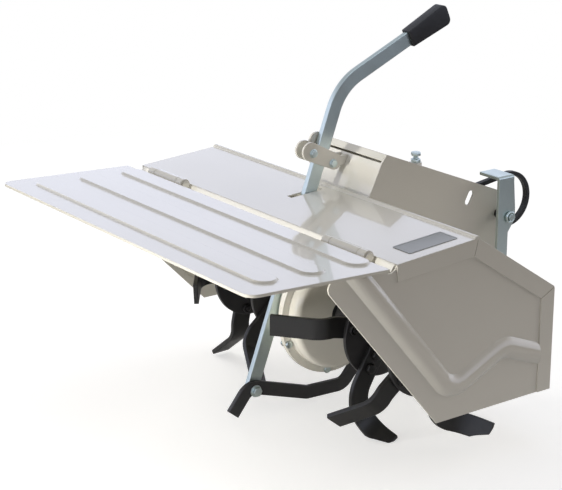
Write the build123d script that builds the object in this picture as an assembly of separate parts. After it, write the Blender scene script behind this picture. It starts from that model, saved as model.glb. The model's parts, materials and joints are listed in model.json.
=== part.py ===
from build123d import *
import os
from math import asin, atan2, cos, degrees, hypot, pi, radians, sin, sqrt, tan

# Rotary tiller attachment for a walking tractor, in millimetres.
# While it is drawn, X runs along the rotor to the right, Y points forward to the tractor and Z is up,
# with zero at the middle of the hood's front top edge.  The finished part is then moved so that its
# origin is the middle of the underside of its box.

# Hood sheet
HOOD_WIDTH = 600.0
SHEET = 2.0
TOP_DEPTH = 136.3
TOP_DROP = 9.7
SLOPE_RUN = 143.4
SLOPE_DROP = 94.7
FRONT_HEIGHT = 149.0
END_FLANGE = 24.0
BEND_RADIUS = 6.0
RIM_RADIUS = 5.0
RIM_SINK = 2.0
LIP_LENGTH = 12.0
LIP_ANGLE = 55.0
LIP_CORNER = 9.0
LEVER_SLOT_REAR = -71.0
LEVER_SLOT_FRONT = -16.0
LEVER_SLOT_WIDTH = 11.0
OPENING_MARGIN = 5.0
OPENING_EDGE = 1.5
MITRE = 1.0

# Name plate on the hood
NAME_PLATE_WIDTH = 35.5
NAME_PLATE_LENGTH = 82.0
NAME_PLATE_THICK = 0.8
NAME_PLATE_INSET = 35.5
NAME_PLATE_Y = -60.5

# Side plates
SIDE_SHEET = 2.5
EAR_REACH = 101.0
EAR_TIP_DROP = 15.0
EAR_TIP_RUN = 12.0
EAR_TIP_ROUND = 12.0
RIGHT_FOOT_REAR = -62.0
LEFT_FOOT_REAR = -30.0
BEAD_RADIUS = 19.6
BEAD_SINK = 12.6
BEAD_WALL = 2.5
BEAD_BEND = 34.0
BEAD_TOP_INSET = 40.0
BEAD_TOP_Z = -3.3
BEAD_LOW_Y = -39.0
BEAD_LOW_Z = -205.0
BEAD_RISE_Y = 54.0
BEAD_RISE_Z = -161.5
BEAD_END_INSET = 12.0
BEAD_END_Z = -192.0
BEAD_END_GAP = 0.5

# Rear flap and its hinges
FLAP_OVERHANG = 9.5
FLAP_DEPTH = 223.0
FLAP_TILT = 2.3
FLAP_START = 10.0
FLAP_CORNER = 16.0
FLAP_SKIRT = 4.0
FLAP_REST_GAP = 0.3
RIB_COUNT = 3
RIB_FIRST = 28.5
RIB_PITCH = 71.0
RIB_WIDTH = 37.0
RIB_MARGIN = 26.5
RIB_HEIGHT = 3.0
RIB_TAPER = 40.0
HINGE_INSET = 89.0
HINGE_LENGTH = 88.0
KNUCKLE_SHARE = 15.0
BARREL_RADIUS = 8.5
BARREL_STANDOFF = 1.2
HINGE_PIN_RADIUS = 4.0
PIN_CLEARANCE = 0.05
KNUCKLE_GAP = 0.5
PIN_HEAD_RADIUS = 6.0
PIN_HEAD = 2.5
LEAF = 2.5
LEAF_REACH = 30.0

# Hitch arm
ARM_WIDTH = 140.0
ARM_WALL = 3.2
ARM_REAR = 3.6
ARM_SHOULDER_Y = 27.0
ARM_SHOULDER = 45.5
ARM_PEAK_Y = 36.8
ARM_PEAK_Z = 56.8
ARM_FRONT = 250.0
ARM_FRONT_TOP = -29.0
ARM_FOOT = -150.0
LID_FRONT = 196.0
LID = 2.5
LID_SLIT = 3.0
LID_BOSS = 9.0
LID_BOSS_RISE = 3.0
LID_BOSS_DEPTH = 5.4
WINDOW_Y = 194.5
WINDOW_Z = -32.0
WINDOW_LENGTH = 22.0
WINDOW_WIDTH = 10.0
WINDOW_LEAN = 62.0
HITCH_Y = 205.0
HITCH_Z = -118.0
HITCH_BORE = 8.1
HITCH_BOSS = 15.0
HITCH_BOSS_LENGTH = 16.0
CLAMP_BOLT_Y = 150.0
CLAMP_BOLT_RISE = 13.0
CLAMP_BOLT_DEPTH = 14.0

# Front stand
STAND_WIDTH = 21.0
STAND_THICK = 5.0
STAND_REAR = 230.0
STAND_TOP = -2.0
STAND_BUSH = 20.0
STAND_BUSH_RADIUS = 7.0
STAND_TAB_REACH = 43.0
STAND_TAB_WIDTH = 30.0
STAND_EAR = 12.0
STAND_FOOT = 34.0
STAND_BEND = 4.0
STAND_PIN_SETBACK = 22.0
STAND_PIN_Z = -65.0
STAND_PIN_RADIUS = 5.0
STAND_BOLT_SETBACK = 10.5
STAND_BOLT_Z = -136.0
CLIP_RING = 7.4
CLIP_WIRE = 1.6

# Chain drive
ROTOR_Y = -15.0
ROTOR_Z = -175.0
CASE_RISE = 45.0
CASE_LEFT = -8.5
CASE_DEPTH = 50.0
CASE_WALL = 3.0
CASE_LOWER = 84.0
CASE_UPPER = 35.0
CASE_EDGE = 10.0
CASE_FLANGE = 10.5
CASE_FLANGE_THICK = 4.0
CASE_STUB = 20.0
CASE_BOLT_FIRST = 100.0
CASE_BOLT_STEP = 58.0
CASE_BOLT_COUNT = 4
CASE_TOP_BOLT_STEP = 60.0
CHAIN_PITCH = 12.7
ROTOR_TEETH = 24
INPUT_TEETH = 12
RUN_PITCHES = 15
ROLLER_RADIUS = 3.9
ROLLER_SEAT = 4.2
TOOTH_RISE = 3.2
TOOTH_FLARE = 3.1
TOOTH_GAP = 1.0
SPROCKET_THICK = 6.4
CHAIN_INSIDE = 7.8
CHAIN_PLATE = 1.4
CHAIN_PLATE_HALF = 5.2
ROTOR_SHAFT = 14.0
INPUT_SHAFT = 9.0
INPUT_HOLE_GAP = 1.0
SHAFT_CLEARANCE = 0.05
ROTOR_BEARING = 28.0
ROTOR_BEARING_WIDTH = 14.0
INPUT_BEARING = 20.0
INPUT_BEARING_WIDTH = 12.0
BEARING_SEAT = 4.0
SEAL_RADIUS = 21.0
PULLEY_RADIUS = 37.0
PULLEY_WIDTH = 14.0
PULLEY_GROOVE = 9.0
PULLEY_GAP = 9.0
BELT_WIDTH = 9.0
BELT_THICK = 6.5
BELT_SEAT = 0.4
BELT_LOOP = 42.5
BELT_LOOP_Y = 283.0
BELT_LOOP_Z = -51.0
BELT_DIP_Y = 212.0
BELT_FALL = 9.0
BELT_DIP_RADIUS = 60.0

# Rotor
TUBE_RADIUS = 21.0
ROTOR_MARGIN = 81.0
TUBE_GAP = 6.0
TINE_FLANGE = 66.0
TINE_FLANGE_THICK = 6.0
FLANGE_INSET = 15.0
FLANGE_INNER = 110.0
TINE_THICK = 7.0
TINE_WIDTH = 30.0
TINE_ROOT = 25.0
TINE_SHANK = 77.0
TINE_RADIUS = 150.0
TINE_SWEEP = 14.0
TINE_SWEEP_RADIUS = 40.0
TINE_BEND = 53.0
TINE_BEND_RADIUS = 30.0
TINE_TIP = 59.0
HOOK_SWEEP = 58.0
HOOK_SWEEP_RADIUS = 47.0
HOOK_BEND = 70.0
HOOK_BEND_RADIUS = 40.0
HOOK_TIP = 15.0
TINE_BOLT_INNER = 35.0
TINE_BOLT_OUTER = 55.0
RIGHT_OUTER_OUTBOARD_PHASE = 10.0
RIGHT_OUTER_INBOARD_PHASE = -53.0
RIGHT_INNER_OUTBOARD_PHASE = -30.0
RIGHT_INNER_INBOARD_PHASE = -104.0
LEFT_INNER_INBOARD_PHASE = -50.0
LEFT_INNER_OUTBOARD_PHASE = -150.0
LEFT_OUTER_INBOARD_PHASE = -101.0
LEFT_OUTER_OUTBOARD_PHASE = -12.0

# Depth lever, its guide and the skid
LEVER_X = -13.5
LEVER_THICK = 8.0
LEVER_WIDTH = 21.0
LEVER_FOOT_Y = -139.0
LEVER_FOOT_Z = -279.0
FOOT_BOLT_FLANGE = 9.0
LEVER_BEND_Y = 18.0
LEVER_BEND_Z = 142.0
LEVER_BEND_RADIUS = 80.0
LEVER_END_Y = 208.0
LEVER_END_Z = 226.3
GRIP_LENGTH = 76.0
GRIP_WIDTH = 33.0
GRIP_NECK = 25.0
GRIP_THICK = 17.0
GRIP_CAP = 3.0
GRIP_CORNER = 8.0
GRIP_CLEARANCE = 0.2
GUIDE_THICK = 4.0
GUIDE_GAP = 2.0
GUIDE_RADIUS = 13.5
GUIDE_NOSE = 12.0
GUIDE_TAB = 7.0
GUIDE_REAR_Y = -41.0
GUIDE_REAR_Z = 57.5
GUIDE_FRONT_Y = 2.0
GUIDE_FRONT_Z = 37.0
GUIDE_LOBE_Y = -18.0
GUIDE_LOBE_Z = 67.0
GUIDE_LOBE = 13.0
GUIDE_BOLT_REAR_Y = -36.5
GUIDE_BOLT_REAR_Z = 54.5
GUIDE_BOLT_FRONT_Y = -1.5
GUIDE_BOLT_FRONT_Z = 35.0
GUIDE_SPACER = 4.8
SKID_THICK = 7.0
SKID_WIDTH = 20.0
SKID_GAP = 0.4
SKID_PIVOT_Y = 66.0
SKID_PIVOT_Z = -256.0
SKID_FRONT_Y = 22.0
SKID_FRONT_Z = -307.0
SKID_SOLE_Y = -45.0
SKID_SOLE_Z = -304.5
SKID_HEEL_Y = -148.0
SKID_HEEL_Z = -271.0
SKID_TAIL_Y = -177.0
SKID_TAIL_Z = -307.0
SKID_BEND = 22.0
SKID_LUG = 6.0
SKID_LUG_RADIUS = 13.0
SKID_LUG_ROOT = 46.0

# Fasteners
M6 = 3.0
M8 = 4.0
BOLT_CLEARANCE = 0.3
HEAD_FLATS = 1.63
HEAD_HEIGHT = 0.65
BOLT_FLANGE = 1.6

HALF = HOOD_WIDTH / 2
ARM_HALF = ARM_WIDTH / 2
TOP_SLOPE = TOP_DROP / TOP_DEPTH
REAR_EDGE = (-TOP_DEPTH, -TOP_DROP)
FRONT_EDGE = (0.0, 0.0)
SLOPE_FOOT = (SLOPE_RUN, -SLOPE_DROP)
FRONT_FOOT = (SLOPE_RUN, -SLOPE_DROP - FRONT_HEIGHT)
HOOD_LINE = [REAR_EDGE, FRONT_EDGE, SLOPE_FOOT, FRONT_FOOT]
HINGE_Y = -TOP_DEPTH - BARREL_RADIUS - BARREL_STANDOFF
HINGE_Z = -TOP_DROP
FLAP_WIDTH = HOOD_WIDTH + 2 * FLAP_OVERHANG
RIB_LENGTH = FLAP_WIDTH - 2 * RIB_MARGIN
HINGE_SPAN = HOOD_WIDTH - 2 * HINGE_INSET
NAME_PLATE_X = HALF - NAME_PLATE_INSET
STAND_PIN_Y = STAND_REAR + STAND_PIN_SETBACK
STAND_BOLT_Y = STAND_REAR + STAND_BOLT_SETBACK
TUBE_END = HALF - ROTOR_MARGIN
FLANGE_OUTER = TUBE_END - FLANGE_INSET
CASE_MIDDLE = CASE_LEFT + CASE_DEPTH / 2
CASE_RIGHT = CASE_LEFT + CASE_DEPTH
ROTOR_PITCH_RADIUS = CHAIN_PITCH / (2 * sin(pi / ROTOR_TEETH))
INPUT_PITCH_RADIUS = CHAIN_PITCH / (2 * sin(pi / INPUT_TEETH))
CHAIN_RUN = RUN_PITCHES * CHAIN_PITCH
SHAFT_CENTRES = hypot(CHAIN_RUN, ROTOR_PITCH_RADIUS - INPUT_PITCH_RADIUS)
INPUT_Y = ROTOR_Y + SHAFT_CENTRES * cos(radians(CASE_RISE))
INPUT_Z = ROTOR_Z + SHAFT_CENTRES * sin(radians(CASE_RISE))
LEVER_LEFT = LEVER_X - LEVER_THICK / 2
LEVER_RIGHT = LEVER_X + LEVER_THICK / 2
SKID_LEFT = LEVER_RIGHT + SKID_GAP
SKID_RIGHT = SKID_LEFT + SKID_THICK


def disc(y, z, radius, x0, x1):
    """Round bar along X between two stations."""
    return extrude(Plane.YZ.offset(x0) * (Pos(y, z) * Circle(radius)), x1 - x0)


def hexagon(y, z, flats, x0, x1):
    """Hexagonal bar along X between two stations."""
    return extrude(Plane.YZ.offset(x0) * (Pos(y, z) * RegularPolygon(flats / sqrt(3), 6)), x1 - x0)


def plate(points, x0, x1):
    """Flat plate with a straight-sided outline in Y and Z."""
    return extrude(Plane.YZ.offset(x0) * make_face(Polyline(*points, close=True)), x1 - x0)


def hull(circles, x0, x1):
    """Flat plate whose outline is stretched round two circles given as y, z and radius."""
    edges = ShapeList()
    for y, z, radius in circles:
        edges.extend((Pos(y, z) * Circle(radius)).edges())
    return extrude(Plane.YZ.offset(x0) * make_hull(edges), x1 - x0)


def parallel(points, distance):
    """Line of points shifted sideways by a distance, to the right of its travel."""
    shifted = []
    normals = []
    for (y0, z0), (y1, z1) in zip(points, points[1:]):
        length = hypot(y1 - y0, z1 - z0)
        normals.append(((z1 - z0) / length, -(y1 - y0) / length))
    for index, (y, z) in enumerate(points):
        before = normals[max(index - 1, 0)]
        after = normals[min(index, len(normals) - 1)]
        scale = distance / (1 + before[0] * after[0] + before[1] * after[1])
        shifted.append((y + (before[0] + after[0]) * scale, z + (before[1] + after[1]) * scale))
    return shifted


def strip(points, thickness, x0, x1):
    """Bent sheet along X, its outer face on the points and its thickness inside them."""
    return plate(points + parallel(points, thickness)[::-1], x0, x1)


def bar(path, width, thickness):
    """Flat bar along a path in a plane of constant X, width in that plane."""
    start = path @ 0
    section = Plane(origin=start, x_dir=(1, 0, 0), z_dir=path % 0) * Rectangle(thickness, width)
    return sweep(section, path)


def flat_path(x, points, radii):
    """Rounded path of straight runs and arcs at one station along X."""
    return FilletPolyline(*[(x, y, z) for y, z in points], radius=radii)


def bolt(y, z, radius, head_x, tip_x, flange=0.0):
    """Bolt with its nut along X: the head's seat at head_x and the nut's seat at tip_x."""
    way = 1 if head_x > tip_x else -1
    flats = 2 * radius * HEAD_FLATS
    height = 2 * radius * HEAD_HEIGHT
    body = disc(y, z, radius, min(head_x, tip_x), max(head_x, tip_x))
    head_top = head_x + way * height
    nut_top = tip_x - way * height
    body += hexagon(y, z, flats, min(head_x, head_top), max(head_x, head_top))
    body += hexagon(y, z, flats, min(tip_x, nut_top), max(tip_x, nut_top))
    if flange:
        rim = head_x + way * BOLT_FLANGE
        body += disc(y, z, flange, min(head_x, rim), max(head_x, rim))
    return body


def hood_under(y):
    """Height of the underside of the hood's top at one place."""
    return y * TOP_SLOPE - SHEET * sqrt(1 + TOP_SLOPE ** 2)


def slope_height(y):
    """Height of the hood's front slope at one place."""
    return -y * SLOPE_DROP / SLOPE_RUN


def edge_at(solid, y, z):
    """Edge along X that lies nearest to a place in Y and Z."""
    return solid.edges().filter_by(Axis.X).sort_by_distance((0, y, z))[0]


def hinge_stations():
    """Middle of each hinge along X."""
    return {"right": HINGE_SPAN / 2, "left": -HINGE_SPAN / 2}


def mitre_strip(start, end):
    """Narrow strip between two places, as cut for the mitre of a folded corner."""
    length = hypot(end[0] - start[0], end[1] - start[1])
    side_y = (end[1] - start[1]) / length * MITRE / 2
    side_z = -(end[0] - start[0]) / length * MITRE / 2
    beyond = (end[0] + (end[0] - start[0]) / 2, end[1] + (end[1] - start[1]) / 2)
    strip_points = [(start[0] - side_y, start[1] - side_z), (beyond[0] - side_y, beyond[1] - side_z)]
    return strip_points + [(beyond[0] + side_y, beyond[1] + side_z), (start[0] + side_y, start[1] + side_z)]


def hood():
    """Folded hood with end flanges, front rim, rear lip, lever slot and drive opening."""
    shell = strip(HOOD_LINE, SHEET, -HALF, HALF)
    for side in (-1, 1):
        outer = side * HALF
        inner = side * (HALF - SHEET)
        shell += strip(HOOD_LINE, END_FLANGE, min(outer, inner), max(outer, inner))
    shell = fillet([edge_at(shell, *FRONT_EDGE), edge_at(shell, *SLOPE_FOOT)], BEND_RADIUS)
    inside = parallel(HOOD_LINE, SHEET)
    room = plate(inside[:3] + [(inside[0][0], inside[2][1])], -HALF, HALF)
    shell += disc(-RIM_SINK, -RIM_SINK, RIM_RADIUS, -HALF, HALF) - room
    lip_y = -LIP_LENGTH * cos(radians(LIP_ANGLE))
    lip_z = -LIP_LENGTH * sin(radians(LIP_ANGLE))
    lip_line = [(REAR_EDGE[0] + lip_y, REAR_EDGE[1] + lip_z), REAR_EDGE]
    notch = HINGE_LENGTH / 2 + 2 * PIN_HEAD
    lip_end = HALF - SHEET - SIDE_SHEET - KNUCKLE_GAP
    stations = [-lip_end, -HINGE_SPAN / 2 - notch, -HINGE_SPAN / 2 + notch]
    stations += [HINGE_SPAN / 2 - notch, HINGE_SPAN / 2 + notch, lip_end]
    for x0, x1 in zip(stations[::2], stations[1::2]):
        lip = strip(lip_line, SHEET, x0, x1)
        corners = [edge for edge in lip.edges().filter_by(Axis.X, reverse=True).group_by(Axis.Z)[0]
                   if abs(edge.center().X) < lip_end - SHEET]
        shell += fillet(corners, LIP_CORNER)
    slot = Box(LEVER_SLOT_WIDTH, LEVER_SLOT_FRONT - LEVER_SLOT_REAR, TOP_DROP + 4 * SHEET)
    shell -= Pos(LEVER_X, (LEVER_SLOT_FRONT + LEVER_SLOT_REAR) / 2, -TOP_DROP / 2) * slot
    for corner, depth in zip(HOOD_LINE[1:3], parallel(HOOD_LINE, END_FLANGE)[1:3]):
        start = parallel(HOOD_LINE, SHEET)[HOOD_LINE.index(corner)]
        slit = plate(mitre_strip(start, depth), -2 * HALF, 2 * HALF)
        shell -= slit - plate(mitre_strip(start, depth), SHEET - HALF, HALF - SHEET)
    room = ARM_HALF - ARM_WALL
    opening_rear = ARM_SHOULDER_Y
    opening = [(opening_rear, slope_height(opening_rear) + SHEET)]
    opening_front = SLOPE_RUN - OPENING_EDGE
    opening += [(opening_front, slope_height(opening_front) + SHEET)]
    opening += [(opening_front, slope_height(opening_front) - 2 * SHEET)]
    opening += [(opening_rear, slope_height(opening_rear) - 2 * SHEET)]
    shell -= plate(opening, CASE_LEFT - OPENING_MARGIN, room)
    return shell


def name_plate():
    """Plain plate on the hood's top, near its right end."""
    tilt = degrees(atan2(TOP_DROP, TOP_DEPTH))
    sheet = Box(NAME_PLATE_WIDTH, NAME_PLATE_LENGTH, NAME_PLATE_THICK)
    sheet = Pos(NAME_PLATE_X, NAME_PLATE_Y, NAME_PLATE_THICK / 2) * sheet
    return Rot(tilt, 0, 0) * sheet


def side_plate(side):
    """Pressed end plate with its rear ear and the raised bead that stiffens it."""
    top = parallel(HOOD_LINE, SHEET)
    tilt = tan(radians(FLAP_TILT))
    rest_drop = HINGE_Z - SHEET - FLAP_REST_GAP

    def ear_height(y):
        return rest_drop + (HINGE_Y - y) * tilt

    tip_y = HINGE_Y - EAR_REACH
    start_y = HINGE_Y - FLAP_START
    points = [(start_y, ear_height(start_y)), (top[0][0], hood_under(top[0][0]) - LEAF)]
    points += [(top[0][0], top[0][1]), top[1], top[2]]
    foot_rear = RIGHT_FOOT_REAR if side > 0 else LEFT_FOOT_REAR
    points += [(top[3][0], FRONT_FOOT[1]), (foot_rear, FRONT_FOOT[1])]
    brow_y = tip_y + EAR_TIP_RUN
    points += [(tip_y, ear_height(tip_y) - EAR_TIP_DROP), (brow_y, ear_height(brow_y))]
    outer = HALF - SHEET
    inner = outer - SIDE_SHEET
    sheet = plate(points, inner, outer)
    tip_edges = sheet.edges().filter_by(Axis.X).group_by(Axis.Y)
    sheet = fillet(tip_edges[0] + tip_edges[1], EAR_TIP_ROUND)
    sheet -= disc(HINGE_Y, HINGE_Z, BARREL_RADIUS + SHEET, inner, outer)
    bead_line = [(tip_y + BEAD_TOP_INSET, BEAD_TOP_Z), (BEAD_LOW_Y, BEAD_LOW_Z)]
    bead_line += [(BEAD_RISE_Y, BEAD_RISE_Z), (SLOPE_RUN - BEAD_END_INSET, BEAD_END_Z)]
    path = flat_path(outer - BEAD_SINK, bead_line, BEAD_BEND)
    bead = sweep(Plane(origin=path @ 0, z_dir=path % 0) * Circle(BEAD_RADIUS), path)
    groove = sweep(Plane(origin=path @ 0, z_dir=path % 0) * Circle(BEAD_RADIUS - BEAD_WALL), path)
    far_y = HINGE_Y - 2 * EAR_REACH
    above = [(HINGE_Y, ear_height(HINGE_Y)), (far_y, ear_height(far_y)), (far_y, HALF), (HINGE_Y, HALF)]
    end_y = SLOPE_RUN - END_FLANGE - BEAD_END_GAP
    beyond = Box(4 * BEAD_RADIUS, 2 * HALF, 2 * HALF)
    bead -= plate(above, 0, 2 * HALF)
    bead -= Pos(outer, end_y + HALF, -HALF / 2) * beyond
    bead -= Pos(inner - 2 * BEAD_RADIUS, 0, -HALF / 2) * beyond
    groove -= Pos(outer, end_y - BEAD_WALL + HALF, -HALF / 2) * beyond
    sheet = sheet + bead - groove
    return sheet if side > 0 else mirror(sheet, Plane.YZ)


def on_flap(piece):
    """Carry a piece drawn on the level hinge line to the flap's resting tilt."""
    return Pos(0, HINGE_Y, HINGE_Z) * (Rot(-FLAP_TILT, 0, 0) * piece)


def rear_flap():
    """Pressed rear flap with a turned-down edge and three raised ribs."""
    reach = FLAP_DEPTH - FLAP_START
    outline = Pos(0, -FLAP_START - reach / 2) * Rectangle(FLAP_WIDTH, reach)
    outline = fillet(outline.vertices().group_by(Axis.Y)[0], FLAP_CORNER)
    inside = offset(outline, -SHEET)
    panel = extrude(outline, -SHEET)
    open_front = Box(FLAP_WIDTH - 2 * SHEET, 2 * FLAP_START + 4 * SHEET, 2 * FLAP_SKIRT)
    skirt = extrude(outline, -FLAP_SKIRT) - extrude(inside, -FLAP_SKIRT)
    panel += skirt - Pos(0, 0, -FLAP_SKIRT - SHEET) * open_front
    for index in range(RIB_COUNT):
        rib = Pos(0, -RIB_FIRST - index * RIB_PITCH) * SlotOverall(RIB_LENGTH, RIB_WIDTH)
        raised = extrude(rib, RIB_HEIGHT, taper=RIB_TAPER)
        panel = panel + raised - Pos(0, 0, -SHEET) * raised
    return on_flap(panel)


def hinge_hood_leaf(station):
    """Two outer knuckles with the leaf that is welded under the hood's rear edge."""
    leaf = None
    for side in (-1, 1):
        x0 = station + side * HINGE_LENGTH / 2
        x1 = station + side * (HINGE_LENGTH / 2 - KNUCKLE_SHARE)
        ring = disc(HINGE_Y, HINGE_Z, BARREL_RADIUS, min(x0, x1), max(x0, x1))
        leaf = ring if leaf is None else leaf + ring
    front = -TOP_DEPTH + LEAF_REACH
    seat = -TOP_DEPTH + SHEET
    points = [(seat, hood_under(seat)), (front, hood_under(front)), (front, hood_under(front) - LEAF)]
    points += [(HINGE_Y, HINGE_Z - BARREL_RADIUS), (HINGE_Y, HINGE_Z - BARREL_RADIUS + LEAF)]
    tongue = plate(points, station - HINGE_LENGTH / 2, station + HINGE_LENGTH / 2)
    middle = HINGE_LENGTH / 2 - KNUCKLE_SHARE + KNUCKLE_GAP
    room = disc(HINGE_Y, HINGE_Z, BARREL_RADIUS + KNUCKLE_GAP, station - middle, station + middle)
    leaf = leaf + (tongue - room)
    return leaf - disc(HINGE_Y, HINGE_Z, HINGE_PIN_RADIUS + PIN_CLEARANCE, station - HALF, station + HALF)


def hinge_flap_leaf(station):
    """Middle knuckle with the leaf that is welded under the flap's front edge."""
    half = HINGE_LENGTH / 2 - KNUCKLE_SHARE - KNUCKLE_GAP
    knuckle = disc(0, 0, BARREL_RADIUS, station - half, station + half)
    points = [(0, -SHEET), (-FLAP_START - LEAF_REACH, -SHEET), (-FLAP_START - LEAF_REACH, -SHEET - LEAF)]
    points += [(-BARREL_RADIUS / 2, -SHEET - LEAF)]
    knuckle += plate(points, station - half, station + half)
    knuckle -= disc(0, 0, HINGE_PIN_RADIUS + PIN_CLEARANCE, station - HALF, station + HALF)
    return on_flap(knuckle)


def hinge_pins():
    """The two headed hinge pins."""
    pins = []
    for station in hinge_stations().values():
        end = HINGE_LENGTH / 2 + PIN_HEAD / 2
        pin = disc(HINGE_Y, HINGE_Z, HINGE_PIN_RADIUS, station - end, station + end)
        head = station + HINGE_LENGTH / 2 + KNUCKLE_GAP
        pins.append(pin + disc(HINGE_Y, HINGE_Z, PIN_HEAD_RADIUS, head, head + PIN_HEAD))
    return pins


def arm_outline():
    """Outline of the arm's side walls, seated on the hood's slope and front."""
    points = [(ARM_REAR, slope_height(ARM_REAR)), (ARM_SHOULDER_Y, ARM_SHOULDER), (ARM_PEAK_Y, ARM_PEAK_Z)]
    points += [(ARM_FRONT, ARM_FRONT_TOP), (ARM_FRONT, ARM_FOOT), (SLOPE_RUN, ARM_FOOT), SLOPE_FOOT]
    return points


def rear_wall(z):
    """Place along Y of the leaning rear wall's outer face at one height."""
    foot = slope_height(ARM_REAR)
    return ARM_REAR + (z - foot) * (ARM_SHOULDER_Y - ARM_REAR) / (ARM_SHOULDER - foot)


def window(x0, x1):
    """Slanted round-ended window through the arm's wall."""
    sketch = Pos(WINDOW_Y, WINDOW_Z) * (Rot(0, 0, WINDOW_LEAN) * SlotOverall(WINDOW_LENGTH, WINDOW_WIDTH))
    return extrude(Plane.YZ.offset(x0) * sketch, x1 - x0)


def hitch_arm():
    """Welded arm: walls, hitch bosses, ear of the stand's pin and the stub that carries the chain case."""
    inner = ARM_HALF - ARM_WALL
    arm = plate(arm_outline(), inner, ARM_HALF) + plate(arm_outline(), -ARM_HALF, -inner)
    back = ARM_REAR + ARM_WALL
    rear = [(ARM_REAR, slope_height(ARM_REAR)), (ARM_SHOULDER_Y, ARM_SHOULDER)]
    rear += [(ARM_SHOULDER_Y + ARM_WALL, ARM_SHOULDER), (back, slope_height(back))]
    arm += plate(rear, -ARM_HALF, ARM_HALF)
    arm += disc(HITCH_Y, HITCH_Z, HITCH_BOSS, ARM_HALF - HITCH_BOSS_LENGTH, ARM_HALF)
    arm += disc(HITCH_Y, HITCH_Z, HITCH_BOSS, -ARM_HALF, HITCH_BOSS_LENGTH - ARM_HALF)
    arm -= disc(HITCH_Y, HITCH_Z, HITCH_BORE, -ARM_HALF, ARM_HALF)
    arm += disc(STAND_PIN_Y, STAND_PIN_Z, STAND_EAR, inner, ARM_HALF)
    arm += disc(INPUT_Y, INPUT_Z, CASE_STUB, -inner, CASE_LEFT)
    arm -= disc(INPUT_Y, INPUT_Z, CASE_STUB - ARM_WALL, -inner, CASE_LEFT)
    arm -= window(inner, ARM_HALF)
    arm -= window(-ARM_HALF, -inner)
    arm -= disc(STAND_PIN_Y, STAND_PIN_Z, STAND_PIN_RADIUS + SHAFT_CLEARANCE, inner, ARM_HALF)
    arm -= disc(STAND_BOLT_Y, STAND_BOLT_Z, M8 + BOLT_CLEARANCE, inner, ARM_HALF)
    return arm


def lid_height(y):
    """Height of the arm's sloping top at one place."""
    fall = (ARM_PEAK_Z - ARM_FRONT_TOP) / (ARM_FRONT - ARM_PEAK_Y)
    return ARM_PEAK_Z - (y - ARM_PEAK_Y) * fall


def arm_cover():
    """Lid between the arm's walls, turned down at the rear, with the boss of the clamp bolt."""
    half = ARM_HALF - ARM_WALL
    share = LID_SLIT / (ARM_PEAK_Z - ARM_SHOULDER)
    start = (ARM_SHOULDER_Y + share * (ARM_PEAK_Y - ARM_SHOULDER_Y), ARM_SHOULDER + LID_SLIT)
    line = [start, (ARM_PEAK_Y, ARM_PEAK_Z), (LID_FRONT, lid_height(LID_FRONT))]
    lid = strip(line, LID, -half, half)
    seat = lid_height(CLAMP_BOLT_Y)
    low = seat - LID_BOSS_DEPTH
    top = seat + LID_BOSS_RISE
    lid += Pos(0, CLAMP_BOLT_Y, (low + top) / 2) * Cylinder(LID_BOSS, top - low)
    return lid - Pos(0, CLAMP_BOLT_Y, seat) * Cylinder(M8 + SHAFT_CLEARANCE, 4 * LID_BOSS)


def clamp_bolt():
    """Upright clamp bolt with its lock nut seated on the lid's boss."""
    seat = lid_height(CLAMP_BOLT_Y) + LID_BOSS_RISE
    top = lid_height(CLAMP_BOLT_Y) + CLAMP_BOLT_RISE
    low = seat - CLAMP_BOLT_DEPTH
    height = 2 * M8 * HEAD_HEIGHT
    shape = RegularPolygon(2 * M8 * HEAD_FLATS / sqrt(3), 6)
    screw = Pos(0, CLAMP_BOLT_Y, (low + top) / 2) * Cylinder(M8, top - low)
    screw += Pos(0, CLAMP_BOLT_Y, top) * extrude(shape, height)
    return screw + Pos(0, CLAMP_BOLT_Y, seat) * extrude(shape, height)


def front_stand(floor):
    """Zinc-plated bar that stands on the floor, its top turned over as a keeper for the belt."""
    outer = ARM_HALF + STAND_BUSH + STAND_THICK
    inner = ARM_HALF + STAND_BUSH
    front = STAND_REAR + STAND_WIDTH
    nose = STAND_PIN_Y + STAND_EAR
    points = [(STAND_REAR, floor), (front, floor), (front, STAND_PIN_Z - 2 * STAND_EAR)]
    points += [(nose, STAND_PIN_Z - STAND_EAR / 2), (nose, STAND_PIN_Z + STAND_EAR)]
    points += [(STAND_REAR + STAND_TAB_WIDTH, STAND_TOP - 2 * STAND_THICK)]
    points += [(STAND_REAR + STAND_TAB_WIDTH, STAND_TOP), (STAND_REAR, STAND_TOP)]
    stand = plate(points, inner, outer)
    tab = [(STAND_REAR, STAND_TOP - STAND_THICK), (STAND_REAR + STAND_TAB_WIDTH, STAND_TOP - STAND_THICK)]
    tab += [(STAND_REAR + STAND_TAB_WIDTH, STAND_TOP), (STAND_REAR, STAND_TOP)]
    stand += plate(tab, outer - STAND_TAB_REACH, outer)
    sole = floor + STAND_THICK
    foot = [(STAND_REAR, floor), (front, floor), (front, sole), (STAND_REAR, sole)]
    stand += plate(foot, outer - STAND_FOOT, outer)
    corners = stand.edges().filter_by(Axis.Y).group_by(Axis.X)[-1]
    stand = fillet(corners, STAND_BEND)
    stand -= disc(STAND_PIN_Y, STAND_PIN_Z, STAND_PIN_RADIUS + SHAFT_CLEARANCE, inner, outer)
    return stand - disc(STAND_BOLT_Y, STAND_BOLT_Z, M8 + BOLT_CLEARANCE, inner, outer)


def stand_pin():
    """Pin in the arm's ear that carries the top of the stand, cross-drilled for its clip."""
    outer = ARM_HALF + STAND_BUSH + STAND_THICK
    pin = disc(STAND_PIN_Y, STAND_PIN_Z, STAND_PIN_RADIUS, ARM_HALF - ARM_WALL, outer + 4 * CLIP_WIRE)
    hole = Cylinder(CLIP_WIRE + PIN_CLEARANCE, 4 * STAND_PIN_RADIUS)
    return pin - Pos(outer + 2 * CLIP_WIRE, STAND_PIN_Y, STAND_PIN_Z) * hole


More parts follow.
